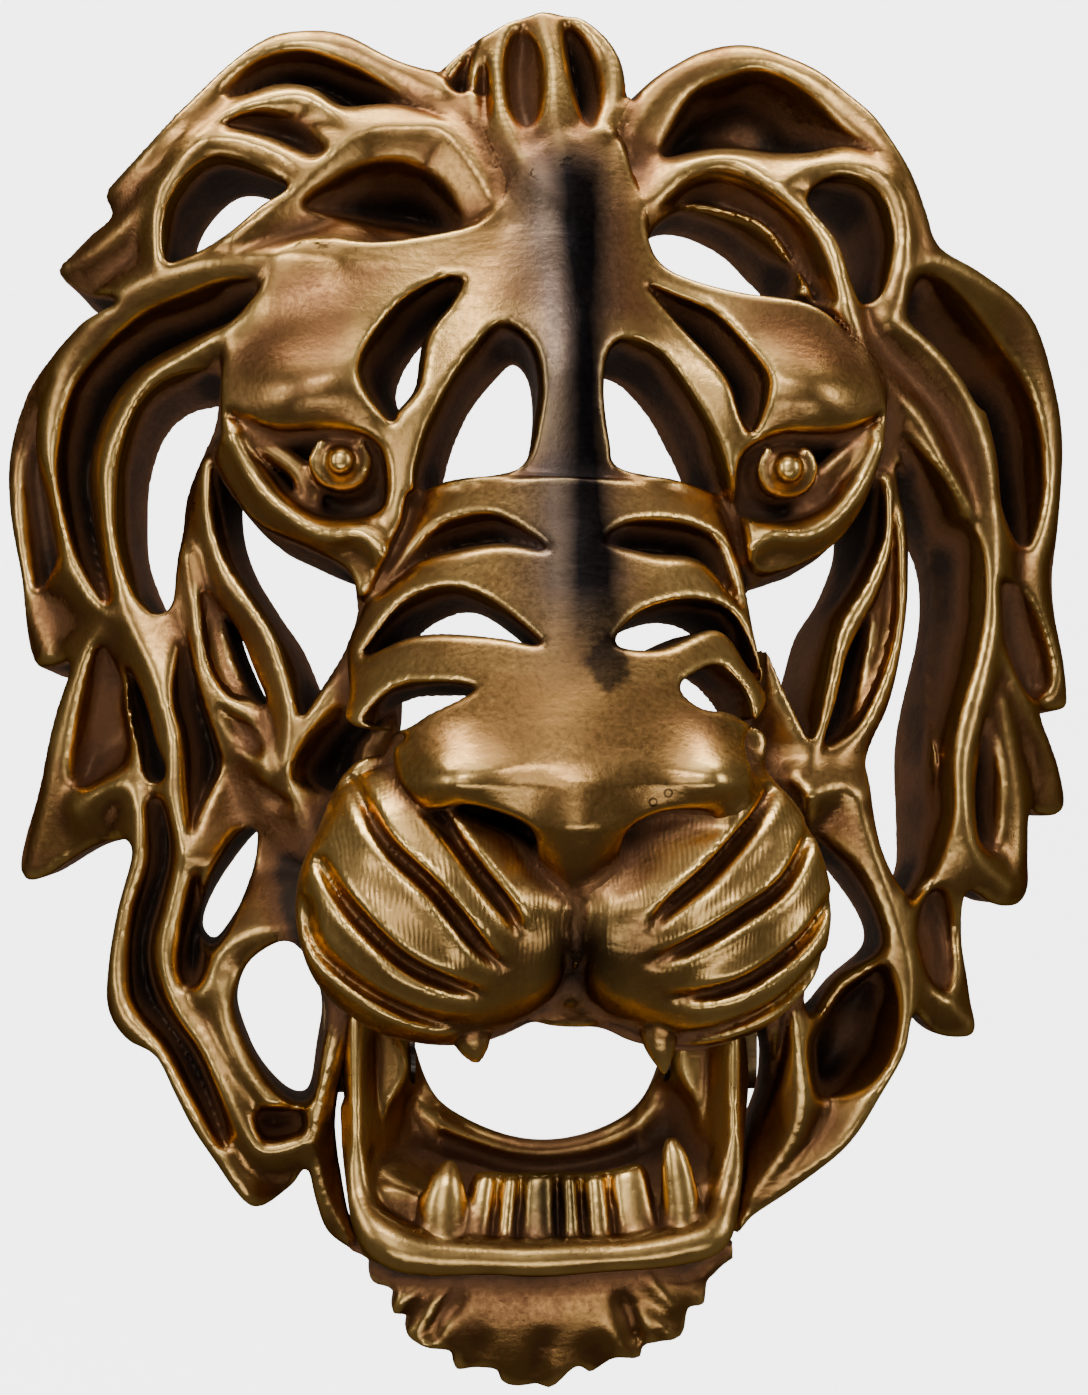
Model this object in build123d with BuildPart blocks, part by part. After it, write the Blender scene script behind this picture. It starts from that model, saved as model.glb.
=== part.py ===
from build123d import *
import os

os.makedirs("parts", exist_ok=True)

# Openwork lion-head door knocker. Millimetres, +Z up, the door is the plane Y = 0 and the face
# looks toward -Y. The origin is the middle of the two door bolts, on the door.

# ---- driving dimensions ----
WALL_DEPTH = 22.0          # how far the cast ribs run back from their front edge
MANE_APEX = 66.0           # front of the mane envelope at its middle, from the door
FACE_APEX = 74.0           # front of the face envelope at its middle
SIDE_RADIUS = 147.0        # curvature of the head from side to side
TALL_RADIUS = 280.0        # curvature of the head from top to bottom
HEAD_MID_Z = -23.0         # middle of the head's height
DOOR_GAP = 2.0             # ribs stay this far off the door
ENVELOPE_LENGTH = 400.0    # envelope cylinders reach past the head

BOLT_SPACING = 128.0       # the two door bolts, one above the other
POST_RADIUS = 7.0
BOLT_HOLE_RADIUS = 3.4     # tapping size for M8
BOLT_HOLE_DEPTH = 25.0

JAW_X = -3.0               # middle of the jaw
JAW_HALF_WIDTH = 36.0      # to the outside of the arms
ARM_THICKNESS = 8.0
PIVOT_Y = -44.0
PIVOT_Z = -97.0
ARM_RADIUS = 8.5           # round top of each arm
SHOULDER_RADIUS = 3.0      # pivot screw shoulder
RUNNING_GAP = 0.05         # shoulder in bush, radial
BUSH_RADIUS = 4.5
THREAD_RADIUS = 2.5
LUG_THICKNESS = 6.0
WASHER_THICKNESS = 1.2
SIDE_GAP = 0.4             # sideways play of the jaw
HEAD_RADIUS = 5.0
HEAD_THICKNESS = 2.4

CHIN_BACK_Y = -42.0
CHIN_FRONT_Y = -64.0
STRIKE_Z = -147.0
STRIKE_FACE_Y = -12.0      # where the button meets the plate
STRIKE_GAP = 0.3
BUTTON_RADIUS = 7.0

PAD_X = 25.5
PAD_Y = -72.0
PAD_Z = -63.5
PAD_RADIUS = 27.0
PAD_DEPTH = 29.0
PAD_WALL = 5.0


# ---- shared helpers ----
def envelope(apex):
    """The space behind a domed front that stands apex off the door at its middle."""
    with BuildPart() as dome:
        with Locations((0, SIDE_RADIUS - apex, 0)):
            Cylinder(SIDE_RADIUS, ENVELOPE_LENGTH)
        with Locations((0, TALL_RADIUS - apex, HEAD_MID_Z)):
            Cylinder(TALL_RADIUS, ENVELOPE_LENGTH, rotation=(0, 90, 0), mode=Mode.INTERSECT)
        with Locations((0, -DOOR_GAP, 0)):
            Box(
                ENVELOPE_LENGTH, ENVELOPE_LENGTH, ENVELOPE_LENGTH,
                align=(Align.CENTER, Align.MAX, Align.CENTER), mode=Mode.INTERSECT,
            )
    return dome.part


def shell(apex, depth):
    """A domed wall of the given depth behind the front that stands apex off the door."""
    with BuildPart() as wall:
        add(envelope(apex))
        add(envelope(apex - depth), mode=Mode.SUBTRACT)
    return wall.part


def ribbon_sides(path):
    """Points along both sides of a path of (x, z, half width)."""
    left, right = [], []
    for i, (x, z, half) in enumerate(path):
        before = path[max(i - 1, 0)]
        after = path[min(i + 1, len(path) - 1)]
        along = Vector(after[0] - before[0], after[1] - before[1]).normalized()
        left.append((x - along.Y * half, z + along.X * half))
        right.append((x + along.Y * half, z - along.X * half))
    return left, right


def rib(path, wall):
    """A cast rib: the ribbon round a path, cut to a domed wall."""
    left, right = ribbon_sides(path)
    with BuildPart() as piece:
        with BuildSketch(Plane.XZ):
            with BuildLine():
                Spline(*left)
                Spline(*right)
                Line(left[0], right[0])
                Line(left[-1], right[-1])
            make_face()
        extrude(amount=ENVELOPE_LENGTH / 2)
        add(wall, mode=Mode.INTERSECT)
    return piece.part


def export(solid, name):
    """Label a finished piece and write it under its own name."""
    solid.label = name
    export_step(solid, f"parts/{name}.step")


mane_wall = shell(MANE_APEX, WALL_DEPTH)
face_wall = shell(FACE_APEX, WALL_DEPTH)
finished = []      # castings fixed to the door, in the order they are fitted


def fit(solid, name, wanted=1):
    """Trim a casting to the ones already fitted, keep its largest solids and write it."""
    with BuildPart() as piece:
        add(solid)
        for other in finished:
            if solid.bounding_box().overlaps(other.bounding_box()):
                add(other, mode=Mode.SUBTRACT)
    kept = piece.part.solids().sort_by(SortBy.VOLUME)[-wanted:]
    fitted = Compound(children=list(kept)) if wanted > 1 else kept[0]
    finished.append(fitted)
    export(fitted, name)


# ---- face: forehead, brows and eye sockets ----
face_outline = [
    (-8, 81), (-14, 71), (-32, 66), (-51, 64), (-60, 54), (-66, 45), (-67, 35), (-68, 25),
    (-61, 11), (-42, 3), (-33, 13), (-16, 18), (5, 20), (26, 18), (35, 13), (40, 3),
    (53, 6), (63, 19), (65, 33), (60, 44), (51, 54), (35, 57), (21, 64), (17, 76), (13, 86), (3, 84),
]
brow_slit_left = [(-19, 59), (-32, 54), (-39, 46), (-39, 38), (-34, 31), (-28, 38), (-26, 49)]
brow_slit_right = [(18, 58), (28, 54), (37, 48), (42, 39), (39, 30), (35, 35), (28, 47)]
bridge_opening_left = [
    (-12, 50), (-6, 45), (-4, 34), (-6, 25), (-12, 22), (-22, 21), (-27, 23), (-24, 34), (-19, 44),
]
bridge_opening_right = [
    (14, 47), (10, 44), (8, 34), (10, 25), (16, 22), (27, 20), (31, 24), (27, 34), (20, 43),
]
EYES = [(-43.5, 23.0), (45.0, 22.0)]
EYE_RADIUS = 6.0
EYE_Y = -61.0
SOCKET_RADIUS = 9.5
SOCKET_Y = -70.0

with BuildPart() as face:
    with BuildSketch(Plane.XZ):
        with BuildLine():
            Spline(*face_outline, periodic=True)
        make_face()
        for opening in (brow_slit_left, brow_slit_right, bridge_opening_left, bridge_opening_right):
            with BuildLine(mode=Mode.PRIVATE) as edge:
                Spline(*opening, periodic=True)
            add(make_face(edge.edges(), mode=Mode.PRIVATE), mode=Mode.SUBTRACT)
    extrude(amount=ENVELOPE_LENGTH / 2)
    add(face_wall, mode=Mode.INTERSECT)
    with Locations(*[(x, SOCKET_Y, z) for x, z in EYES]):
        Sphere(SOCKET_RADIUS, mode=Mode.SUBTRACT)
    with Locations(*[(x, EYE_Y, z) for x, z in EYES]):
        Sphere(EYE_RADIUS, mode=Mode.SUBTRACT)
fit(face.part.solids().sort_by(SortBy.VOLUME)[-1], "face_casting")

with BuildPart() as eyes:
    with Locations(*[(x, EYE_Y, z) for x, z in EYES]):
        Sphere(EYE_RADIUS)
export(eyes.part, "eyes")

# ---- nose bridge with its three pairs of slits, and the nose ----
bridge_outline = [
    (-30, 17), (3, 20), (33, 17), (35, -4), (39, -22), (35, -32), (33, -44), (25, -46), (15, -48),
    (11, -59), (1, -64), (-7, -59), (-11, -48), (-23, -46), (-31, -40), (-33, -32), (-41, -28),
    (-41, -13), (-38, -2),
]
bridge_slits = [
    [(-35, -3), (-30, 4), (-22, 9), (-14, 10), (-5, 5), (-13, 4.5), (-23, 3), (-30, -1)],
    [(7, 6), (14, 10), (24, 9.5), (31, 4), (33, -4), (30, -3), (25, 2), (16, 4)],
    [(-38, -16), (-32, -7), (-22, -3), (-14, -6), (-6, -13), (-14, -13), (-25, -12), (-32, -14)],
    [(9, -13), (13, -8), (24, -5), (31, -9), (36, -20), (32, -18), (27, -11), (17, -14)],
    [(-37, -29), (-32, -23), (-24, -21), (-19, -23), (-24, -26.5), (-29, -29), (-34, -30)],
    [(21, -21), (27, -18.5), (33, -22), (35, -28), (31, -27.5), (25, -25)],
]
# side view of the bridge and nose, (Y, Z)
bridge_side = [
    (-70, 22), (-106, -38), (-108, -50), (-100, -66), (-82, -66), (-84, -42), (-50, 16), (-54, 22),
]

with BuildPart() as nose:
    with BuildSketch(Plane.XZ):
        with BuildLine():
            Spline(*bridge_outline, periodic=True)
        make_face()
        for opening in bridge_slits:
            with BuildLine(mode=Mode.PRIVATE) as edge:
                Spline(*opening, periodic=True)
            add(make_face(edge.edges(), mode=Mode.PRIVATE), mode=Mode.SUBTRACT)
    extrude(amount=ENVELOPE_LENGTH / 2)
    with BuildSketch(Plane.YZ):
        with BuildLine():
            Polyline(*bridge_side, close=True)
        make_face()
    extrude(amount=ENVELOPE_LENGTH / 4, both=True, mode=Mode.INTERSECT)
fit(nose.part.solids().sort_by(SortBy.VOLUME)[-1], "nose_bridge")

# ---- whisker pads: hollow bulbs, open at the back ----
PAD_REAR_Y = -58.0

for side, name in ((-1, "whisker_pad_left"), (1, "whisker_pad_right")):
    with BuildPart() as pad:
        with BuildSketch(Plane.XY.offset(PAD_Z)):
            with Locations((side * PAD_X, PAD_Y)):
                Ellipse(PAD_RADIUS, PAD_DEPTH)
                Ellipse(PAD_RADIUS - PAD_WALL, PAD_DEPTH - PAD_WALL, mode=Mode.SUBTRACT)
            with Locations((side * PAD_X - PAD_RADIUS, PAD_Y)):
                Rectangle(2 * PAD_RADIUS, 4 * PAD_DEPTH, mode=Mode.SUBTRACT)
        revolve(axis=Axis((side * PAD_X, 0, PAD_Z), (0, 1, 0)))
        with Locations((side * PAD_X, PAD_REAR_Y, PAD_Z)):
            Box(
                4 * PAD_RADIUS, 2 * PAD_DEPTH, 4 * PAD_RADIUS,
                align=(Align.CENTER, Align.MIN, Align.CENTER), mode=Mode.SUBTRACT,
            )
    fit(pad.part, name)

FANGS = [(-19.0, -84.0, -94.0), (16.0, -84.0, -95.0)]      # X, Y and the Z of each tip
FANG_RADIUS = 4.0
FANG_TOP_Z = -84.0
with BuildPart() as fangs:
    for x, y, tip in FANGS:
        with Locations((x, y, tip)):
            Cone(
                0.6, FANG_RADIUS, FANG_TOP_Z - tip, align=(Align.CENTER, Align.CENTER, Align.MIN),
            )
fit(fangs.part, "upper_fangs", wanted=2)

# ---- crest ----
crest_outline = [
    (-4, 116), (10, 113), (15, 97), (11, 91), (5, 80), (1, 76), (-4, 80), (-13, 92), (-23, 101),
    (-19, 108), (-11, 114),
]
CREST_FRONT_TOP = -34.0
CREST_FRONT_FOOT = -62.0
with BuildPart() as crest:
    with BuildSketch(Plane.XZ):
        with BuildLine():
            Spline(*crest_outline, periodic=True)
        make_face()
    extrude(amount=ENVELOPE_LENGTH / 2)
    with BuildSketch(Plane.YZ):
        with BuildLine():
            Polyline(
                (CREST_FRONT_TOP, 120), (CREST_FRONT_FOOT, 74), (CREST_FRONT_FOOT + WALL_DEPTH, 74),
                (CREST_FRONT_TOP + WALL_DEPTH, 120), close=True,
            )
        make_face()
    extrude(amount=ENVELOPE_LENGTH / 4, both=True, mode=Mode.INTERSECT)
fit(crest.part, "crest")

# ---- cast ribs of the cheeks and the mane: (X, Z, half width) along each one ----
ribs = {
    "cheek_strap_left": [
        (-68, 23, 3), (-68, 12, 3.5), (-64, 0, 3.5), (-57, -12, 3), (-53, -23, 3), (-52, -33, 3),
    ],
    "cheek_outer_left": [(-74, 8, 2.5), (-71, -8, 3), (-66, -25, 3), (-60, -35, 3), (-53, -45, 3)],
    "cheek_inner_left": [(-42, 4, 3), (-43, -10, 3), (-47, -23, 3.5), (-50, -36, 4), (-51, -48, 4)],
    "cheek_strap_right": [(67, 19, 3), (66, 4, 3.5), (60, -11, 3.5), (56, -25, 3), (52, -37, 3)],
    "cheek_outer_right": [(72, 14, 2.5), (72, -4, 3), (67, -22, 3), (60, -35, 3), (51, -46, 3)],
    "cheek_inner_right": [(41, 4, 3), (43, -10, 3), (47, -23, 3.5), (50, -34, 4), (51, -46, 4)],
    "forelock_left": [
        (-70, 64, 3.5), (-55, 74, 3.5), (-43, 83, 3.5), (-32, 89, 3.5), (-22, 87, 3.5),
        (-14, 77, 3.5), (-10, 67, 3),
    ],
    "forelock_right": [(16, 74, 3.5), (28, 81, 3), (38, 80, 3), (49, 72, 3), (56, 62, 3), (60, 48, 3)],
    "mane_arch_left": [
        (-19, 97, 3), (-35, 105, 4), (-48, 109, 4), (-61, 106, 4), (-72, 98, 4), (-82, 88, 4),
        (-91, 79, 4),
    ],
    "mane_arch_inner_left": [(-38, 89, 2.5), (-52, 97, 2.5), (-64, 96, 2.5), (-74, 91, 2.5)],
    "mane_arch_right": [(15, 93, 3), (28, 102, 4), (43, 107, 4), (58, 102, 4), (71, 91, 4), (80, 73, 4)],
    "mane_loop_left": [(-50, 81, 3), (-60, 87, 3), (-70, 88, 3), (-78, 80, 3), (-80, 64, 3)],
    "mane_loop_right": [(46, 79, 3), (57, 84, 3.5), (67, 81, 3.5), (72, 69, 3.5), (69, 53, 3.5)],
    "temple_left": [(-88, 58, 3), (-78, 63, 4), (-66, 63, 5), (-56, 60, 5)],
    "mane_outer_left": [
        (-58, 57, 3), (-75, 58, 3.5), (-90, 51, 3.5), (-100, 37, 3.5), (-103, 22, 3.5),
        (-99, 7, 3.5), (-91, -5, 3.5),
    ],
    "mane_inner_left": [
        (-62, 50, 3.5), (-76, 44, 3.5), (-86, 30, 3.5), (-89, 15, 3.5), (-87, -2, 4),
        (-81, -18, 4), (-76, -34, 4),
        (-75, -49, 4), (-78, -64, 4), (-79, -78, 4), (-72, -94, 4), (-63, -108, 4), (-56, -116, 4),
    ],
    "mane_tip_high_left": [(-85, 84, 5), (-88, 76, 6), (-93, 70, 5), (-100, 65, 2)],
    "mane_edge_left": [
        (-92, 56, 3), (-102, 46, 3.5), (-108, 33, 3.5), (-109, 19, 3.5), (-106, 3, 4),
        (-104, -8, 5), (-103, -15, 3),
    ],
    "mane_tip_mid_left": [(-91, -6, 4), (-95, -20, 6), (-98, -36, 8), (-102, -50, 6), (-106, -60, 2.5)],
    "mane_fork_left": [
        (-96, -46, 3), (-88, -44, 3.5), (-86, -54, 3.5), (-89, -66, 3.5), (-91, -79, 3.5),
        (-87, -91, 3.5),
        (-79, -102, 4), (-71, -114, 5), (-62, -124, 4),
    ],
    "cheek_hook_left": [(-52, -46, 4), (-60, -50, 4), (-67, -60, 4), (-72, -74, 4)],
    "throat_outer_left": [(-53, -62, 4), (-60, -73, 4), (-66, -85, 4), (-63, -98, 4), (-55, -109, 4)],
    "throat_left": [(-51, -82, 3), (-51, -95, 3), (-51, -108, 4), (-50, -120, 3), (-46, -129, 2)],
    "mane_outer_right": [
        (80, 71, 4), (94, 61, 4), (105, 48, 4), (109, 31, 4), (107, 13, 4), (108, -6, 5),
        (111, -18, 4), (112, -27, 2),
    ],
    "mane_inner_right": [
        (60, 50, 5), (74, 40, 6), (82, 24, 6), (85, 4, 6), (83, -16, 6), (82, -37, 6),
        (86, -53, 6), (96, -63, 4),
    ],
    "mane_tip_mid_right": [(90, -14, 4), (96, -26, 6), (103, -36, 5), (108, -46, 3)],
    "mane_tip_low_right": [(80, -52, 4), (80, -64, 6), (85, -76, 6), (88, -86, 4), (89, -93, 2)],
    "mane_throat_right": [
        (52, -45, 4), (61, -53, 4), (67, -68, 4), (71, -82, 4), (69, -97, 5), (61, -110, 5),
        (50, -121, 4), (43, -128, 2),
    ],
    "throat_right": [(48, -80, 3), (51, -92, 3), (51, -102, 3), (48, -113, 3)],
}
for name, path in ribs.items():
    fit(rib(path, face_wall if name.startswith("forelock") else mane_wall), name)

# ---- posts for the two bolts that come through the door ----
POST_REACH = (50.0, 64.0)      # how far the upper and the lower post stand off the door
with BuildPart() as posts:
    for z, reach in zip((BOLT_SPACING / 2, -BOLT_SPACING / 2), POST_REACH):
        with Locations(Plane.XZ.shift_origin((0, 0, z))):
            Cylinder(POST_RADIUS, reach, align=(Align.CENTER, Align.CENTER, Align.MIN))
            Cylinder(
                BOLT_HOLE_RADIUS, BOLT_HOLE_DEPTH,
                align=(Align.CENTER, Align.CENTER, Align.MIN), mode=Mode.SUBTRACT,
            )
fit(posts.part, "mounting_posts", wanted=2)

# ---- hinge lugs, pivot screws and washers: one of each on either side of the jaw ----
LUG_INNER = JAW_HALF_WIDTH + SIDE_GAP + WASHER_THICKNESS
ARM_INNER = JAW_HALF_WIDTH - ARM_THICKNESS
LUG_RADIUS = 6.5
lug_side = [(-50.5, -97), (-37.5, -97), (-37.5, -68), (-72, -68), (-72, -78), (-50.5, -82)]


def side_plane(side, distance):
    """A plane facing outward, this far from the middle of the jaw, with X along Y and Y along Z."""
    return Plane(origin=(JAW_X + side * distance, 0, 0), x_dir=(0, 1, 0), z_dir=(1, 0, 0))


with BuildPart() as lugs:
    for side in (-1, 1):
        with BuildSketch(side_plane(side, LUG_INNER)):
            with BuildLine():
                Polyline(*lug_side, close=True)
            make_face()
            with Locations((PIVOT_Y, PIVOT_Z)):
                Circle(LUG_RADIUS)
                Circle(THREAD_RADIUS, mode=Mode.SUBTRACT)
        extrude(amount=side * LUG_THICKNESS)
fit(lugs.part, "hinge_lugs", wanted=2)

SLOT_WIDTH = 1.2
SLOT_DEPTH = 1.0
with BuildPart() as screws:
    for side in (-1, 1):
        stretches = (
            (HEAD_RADIUS, ARM_INNER - SIDE_GAP - HEAD_THICKNESS, HEAD_THICKNESS),
            (SHOULDER_RADIUS, ARM_INNER - SIDE_GAP, LUG_INNER - ARM_INNER + SIDE_GAP),
            (THREAD_RADIUS, LUG_INNER, LUG_THICKNESS),
        )
        for radius, start, length in stretches:
            with BuildSketch(side_plane(side, start)):
                with Locations((PIVOT_Y, PIVOT_Z)):
                    Circle(radius)
            extrude(amount=side * length)
        with BuildSketch(side_plane(side, ARM_INNER - SIDE_GAP - HEAD_THICKNESS)):
            with Locations((PIVOT_Y, PIVOT_Z)):
                Rectangle(SLOT_WIDTH, 3 * HEAD_RADIUS)
        extrude(amount=side * SLOT_DEPTH, mode=Mode.SUBTRACT)
export(screws.part, "pivot_screws")

WASHER_RADIUS = 6.0
with BuildPart() as washers:
    for side in (-1, 1):
        with BuildSketch(side_plane(side, LUG_INNER - WASHER_THICKNESS)):
            with Locations((PIVOT_Y, PIVOT_Z)):
                Circle(WASHER_RADIUS)
                Circle(SHOULDER_RADIUS + RUNNING_GAP, mode=Mode.SUBTRACT)
        extrude(amount=side * WASHER_THICKNESS)
export(washers.part, "pivot_washers")

# ---- strike plate, fixed to the door behind the chin ----
PLATE_RADIUS = 14.0
PLATE_THICKNESS = 4.0
PLATE_HOLE_SPACING = 20.0
PLATE_HOLE_RADIUS = 2.25
ANVIL_RADIUS = 6.0
with BuildPart() as plate:
    with Locations(Plane.XZ.shift_origin((JAW_X, 0, STRIKE_Z))):
        Cylinder(PLATE_RADIUS, PLATE_THICKNESS, align=(Align.CENTER, Align.CENTER, Align.MIN))
        Cylinder(ANVIL_RADIUS, -STRIKE_FACE_Y, align=(Align.CENTER, Align.CENTER, Align.MIN))
        with GridLocations(PLATE_HOLE_SPACING, 0, 2, 1):
            Cylinder(PLATE_HOLE_RADIUS, 3 * PLATE_THICKNESS, mode=Mode.SUBTRACT)
export(plate.part, "strike_plate")

# ---- the swinging jaw ----
ARM_FRONT_Y = -64.0
JAW_BOTTOM_Z = -134.0
arm_side = [
    (-52, -99), (-56, -108), (-61, -120), (ARM_FRONT_Y, -127), (ARM_FRONT_Y, JAW_BOTTOM_Z),
    (-46, JAW_BOTTOM_Z), (-36, -122), (-35, -106), (-36, -99),
]
for side, name in ((-1, "jaw_arm_left"), (1, "jaw_arm_right")):
    with BuildPart() as arm:
        with BuildSketch(side_plane(side, ARM_INNER)):
            with BuildLine():
                Polyline(*arm_side, close=True)
            make_face()
            with Locations((PIVOT_Y, PIVOT_Z)):
                Circle(ARM_RADIUS)
                Circle(BUSH_RADIUS, mode=Mode.SUBTRACT)
        extrude(amount=side * ARM_THICKNESS)
        outer = arm.faces().sort_by(Axis.X)[0 if side < 0 else -1]
        chamfer(outer.outer_wire().edges(), 1.0)
    export(arm.part, name)

with BuildPart() as bushes:
    for side in (-1, 1):
        with BuildSketch(side_plane(side, ARM_INNER)):
            with Locations((PIVOT_Y, PIVOT_Z)):
                Circle(BUSH_RADIUS)
                Circle(SHOULDER_RADIUS + RUNNING_GAP, mode=Mode.SUBTRACT)
        extrude(amount=side * ARM_THICKNESS)
export(bushes.part, "jaw_bushes")

LIP_DEPTH = 6.0
LIP_HEIGHT = 7.0
with BuildPart() as lip:
    with BuildSketch(side_plane(1, 0)):
        with Locations((ARM_FRONT_Y - LIP_DEPTH / 2, JAW_BOTTOM_Z + LIP_HEIGHT / 2)):
            RectangleRounded(LIP_DEPTH, LIP_HEIGHT, 2.5)
    extrude(amount=JAW_HALF_WIDTH, both=True)
export(lip.part, "lip_bar")

floor_side = [
    (ARM_FRONT_Y, -128), (ARM_FRONT_Y, JAW_BOTTOM_Z), (-52, JAW_BOTTOM_Z), (-40, -122),
    (-36, -117), (-36, -112), (-40, -116),
]
with BuildPart() as mouth_floor:
    with BuildSketch(side_plane(1, 0)):
        with BuildLine():
            Polyline(*floor_side, close=True)
        make_face()
    extrude(amount=ARM_INNER, both=True)
export(mouth_floor.part, "mouth_floor")

INCISORS = 6
INCISOR_PITCH = 6.2
INCISOR_TOP_Z = -117.0
CANINE_X = 22.5
CANINE_TOP_Z = -113.5
TEETH_Y = -59.5
TEETH_FOOT_Z = -129.0
with BuildPart() as teeth:
    with BuildSketch(Plane.XY.offset(TEETH_FOOT_Z)):
        with Locations((JAW_X, TEETH_Y)):
            with GridLocations(INCISOR_PITCH, 0, INCISORS, 1):
                RectangleRounded(5.2, 4.4, 1.4)
    extrude(amount=INCISOR_TOP_Z - TEETH_FOOT_Z)
    chamfer(teeth.edges().group_by(Axis.Z)[-1], 0.8)
    left_canine = (JAW_X - CANINE_X, TEETH_Y + 0.5, TEETH_FOOT_Z)
    right_canine = (JAW_X + CANINE_X, TEETH_Y + 0.5, TEETH_FOOT_Z)
    with Locations(left_canine, right_canine):
        Cone(
            3.8, 1.0, CANINE_TOP_Z - TEETH_FOOT_Z, align=(Align.CENTER, Align.CENTER, Align.MIN),
        )
    add(mouth_floor.part, mode=Mode.SUBTRACT)
export(teeth.part, "lower_teeth")

chin_edge = [
    (-38, JAW_BOTTOM_Z), (-38, -139), (-34, -142), (-34, -146), (-29, -149), (-29, -153),
    (-22, -155), (-20, -159),
    (-12, -159), (-7, -162.5), (0, -161), (6, -159), (11, -160), (16, -156), (20, -156),
    (21, -152), (26, -151),
    (27, -146), (31, -145), (30, -141), (33, -139), (32, JAW_BOTTOM_Z),
]
with BuildPart() as chin:
    with BuildSketch(Plane.XZ.offset(-CHIN_BACK_Y)):
        with BuildLine():
            Polyline(*chin_edge, close=True)
        make_face()
    extrude(amount=CHIN_BACK_Y - CHIN_FRONT_Y)
    chamfer(chin.faces().sort_by(Axis.Y)[0].edges().sort_by(Axis.Z)[:-1], 1.5)
export(chin.part, "chin_tuft")

STEM_RADIUS = 4.5
BUTTON_THICKNESS = 6.0
with BuildPart() as button:
    with Locations(Plane(origin=(JAW_X, STRIKE_FACE_Y - STRIKE_GAP, STRIKE_Z), z_dir=(0, -1, 0))):
        Cylinder(BUTTON_RADIUS, BUTTON_THICKNESS, align=(Align.CENTER, Align.CENTER, Align.MIN))
        Cylinder(
            STEM_RADIUS, STRIKE_FACE_Y - STRIKE_GAP - CHIN_BACK_Y,
            align=(Align.CENTER, Align.CENTER, Align.MIN),
        )
    chamfer(button.edges().sort_by(Axis.Y)[-1], 1.0)
export(button.part, "striker_button")
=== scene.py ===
import math

import bpy
import numpy as np
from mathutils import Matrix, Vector


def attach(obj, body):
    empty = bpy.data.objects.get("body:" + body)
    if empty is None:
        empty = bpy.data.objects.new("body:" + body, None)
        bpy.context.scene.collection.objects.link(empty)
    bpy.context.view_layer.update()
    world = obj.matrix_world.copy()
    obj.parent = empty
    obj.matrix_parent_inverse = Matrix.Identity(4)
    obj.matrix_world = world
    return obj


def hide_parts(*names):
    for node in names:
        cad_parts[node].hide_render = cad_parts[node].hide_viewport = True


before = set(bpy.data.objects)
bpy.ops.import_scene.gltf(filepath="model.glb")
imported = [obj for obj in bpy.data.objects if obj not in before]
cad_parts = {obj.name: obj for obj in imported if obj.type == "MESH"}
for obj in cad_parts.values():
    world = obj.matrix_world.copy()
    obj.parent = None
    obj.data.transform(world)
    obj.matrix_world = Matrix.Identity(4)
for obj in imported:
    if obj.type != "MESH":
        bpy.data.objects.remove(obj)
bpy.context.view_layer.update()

# The castings are sculpted as solids of distance fields, in millimetres: x to the right, z up, and
# h how far a point stands out in front of the door. A piece is a set of walls, each one an outline
# seen from the front with a front height and a back height, less its pockets and holes.

MM = 0.001
GRID = 0.8        # spacing of the field's samples
SHARE_OVERLAP = 0.7
WALL_DEPTH = 22.0                        # how far the ribs run back from their front
DOOR_GAP = 2.0
MANE_APEX = 66.0                         # how far the middle of each dome stands off the door
MANE_FLOOR = 10.0
CHEEK_APEX = 62.0
BACK_EDGE = 4.0                          # rounding of the edges at the back
LEAN = 0.27                              # how far the sides of a rib lean inward, per mm of depth
LEAN_DEPTH = 22.0                        # and the depth at which they stop leaning
EDGE_REACH = 1.3                         # reach of the averages that find edges, hollows and relief
CAVITY_REACH = 5.5
RELIEF_REACH = 7.0
LEVEL_REACH = 8.0
RELIEF_UNIT = 10.0                       # millimetres that one unit of relief stands for
SIDE_RADIUS = 147.0                      # curvature of the head from side to side
TALL_RADIUS = 280.0                      # and from top to bottom
HEAD_MID_Z = -23.0
FAR = 50.0                               # a distance that is simply outside


# ---------------------------------------------------------------- curves and distances
def smooth(points, closed, steps=5):
    """Points along the Catmull-Rom curve through the given ones."""
    p = np.array(points, float)
    if closed:
        before, after, ahead = np.roll(p, 1, 0), np.roll(p, -1, 0), np.roll(p, -2, 0)
        start = p
    else:
        start, after = p[:-1], p[1:]
        before = np.vstack([2 * p[0] - p[1], p[:-2]])
        ahead = np.vstack([p[2:], 2 * p[-1] - p[-2]])
    t = np.linspace(0, 1, steps, endpoint=False)[None, :, None]
    a, b, c, d = (q[:, None, :] for q in (before, start, after, ahead))
    curve = 0.5 * (2 * b + (c - a) * t + (2 * a - 5 * b + 4 * c - d) * t ** 2
                   + (3 * b - a - 3 * c + d) * t ** 3)
    curve = curve.reshape(-1, p.shape[1])
    return curve if closed else np.vstack([curve, p[-1]])


def window(curve, x, z, margin):
    """Slices of the grid axes that hold the curve and a margin round it."""
    low, high = curve.min(0) - margin, curve.max(0) + margin
    return (slice(*np.searchsorted(x, (low[0], high[0]))), slice(*np.searchsorted(z, (low[1], high[1]))))


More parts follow.
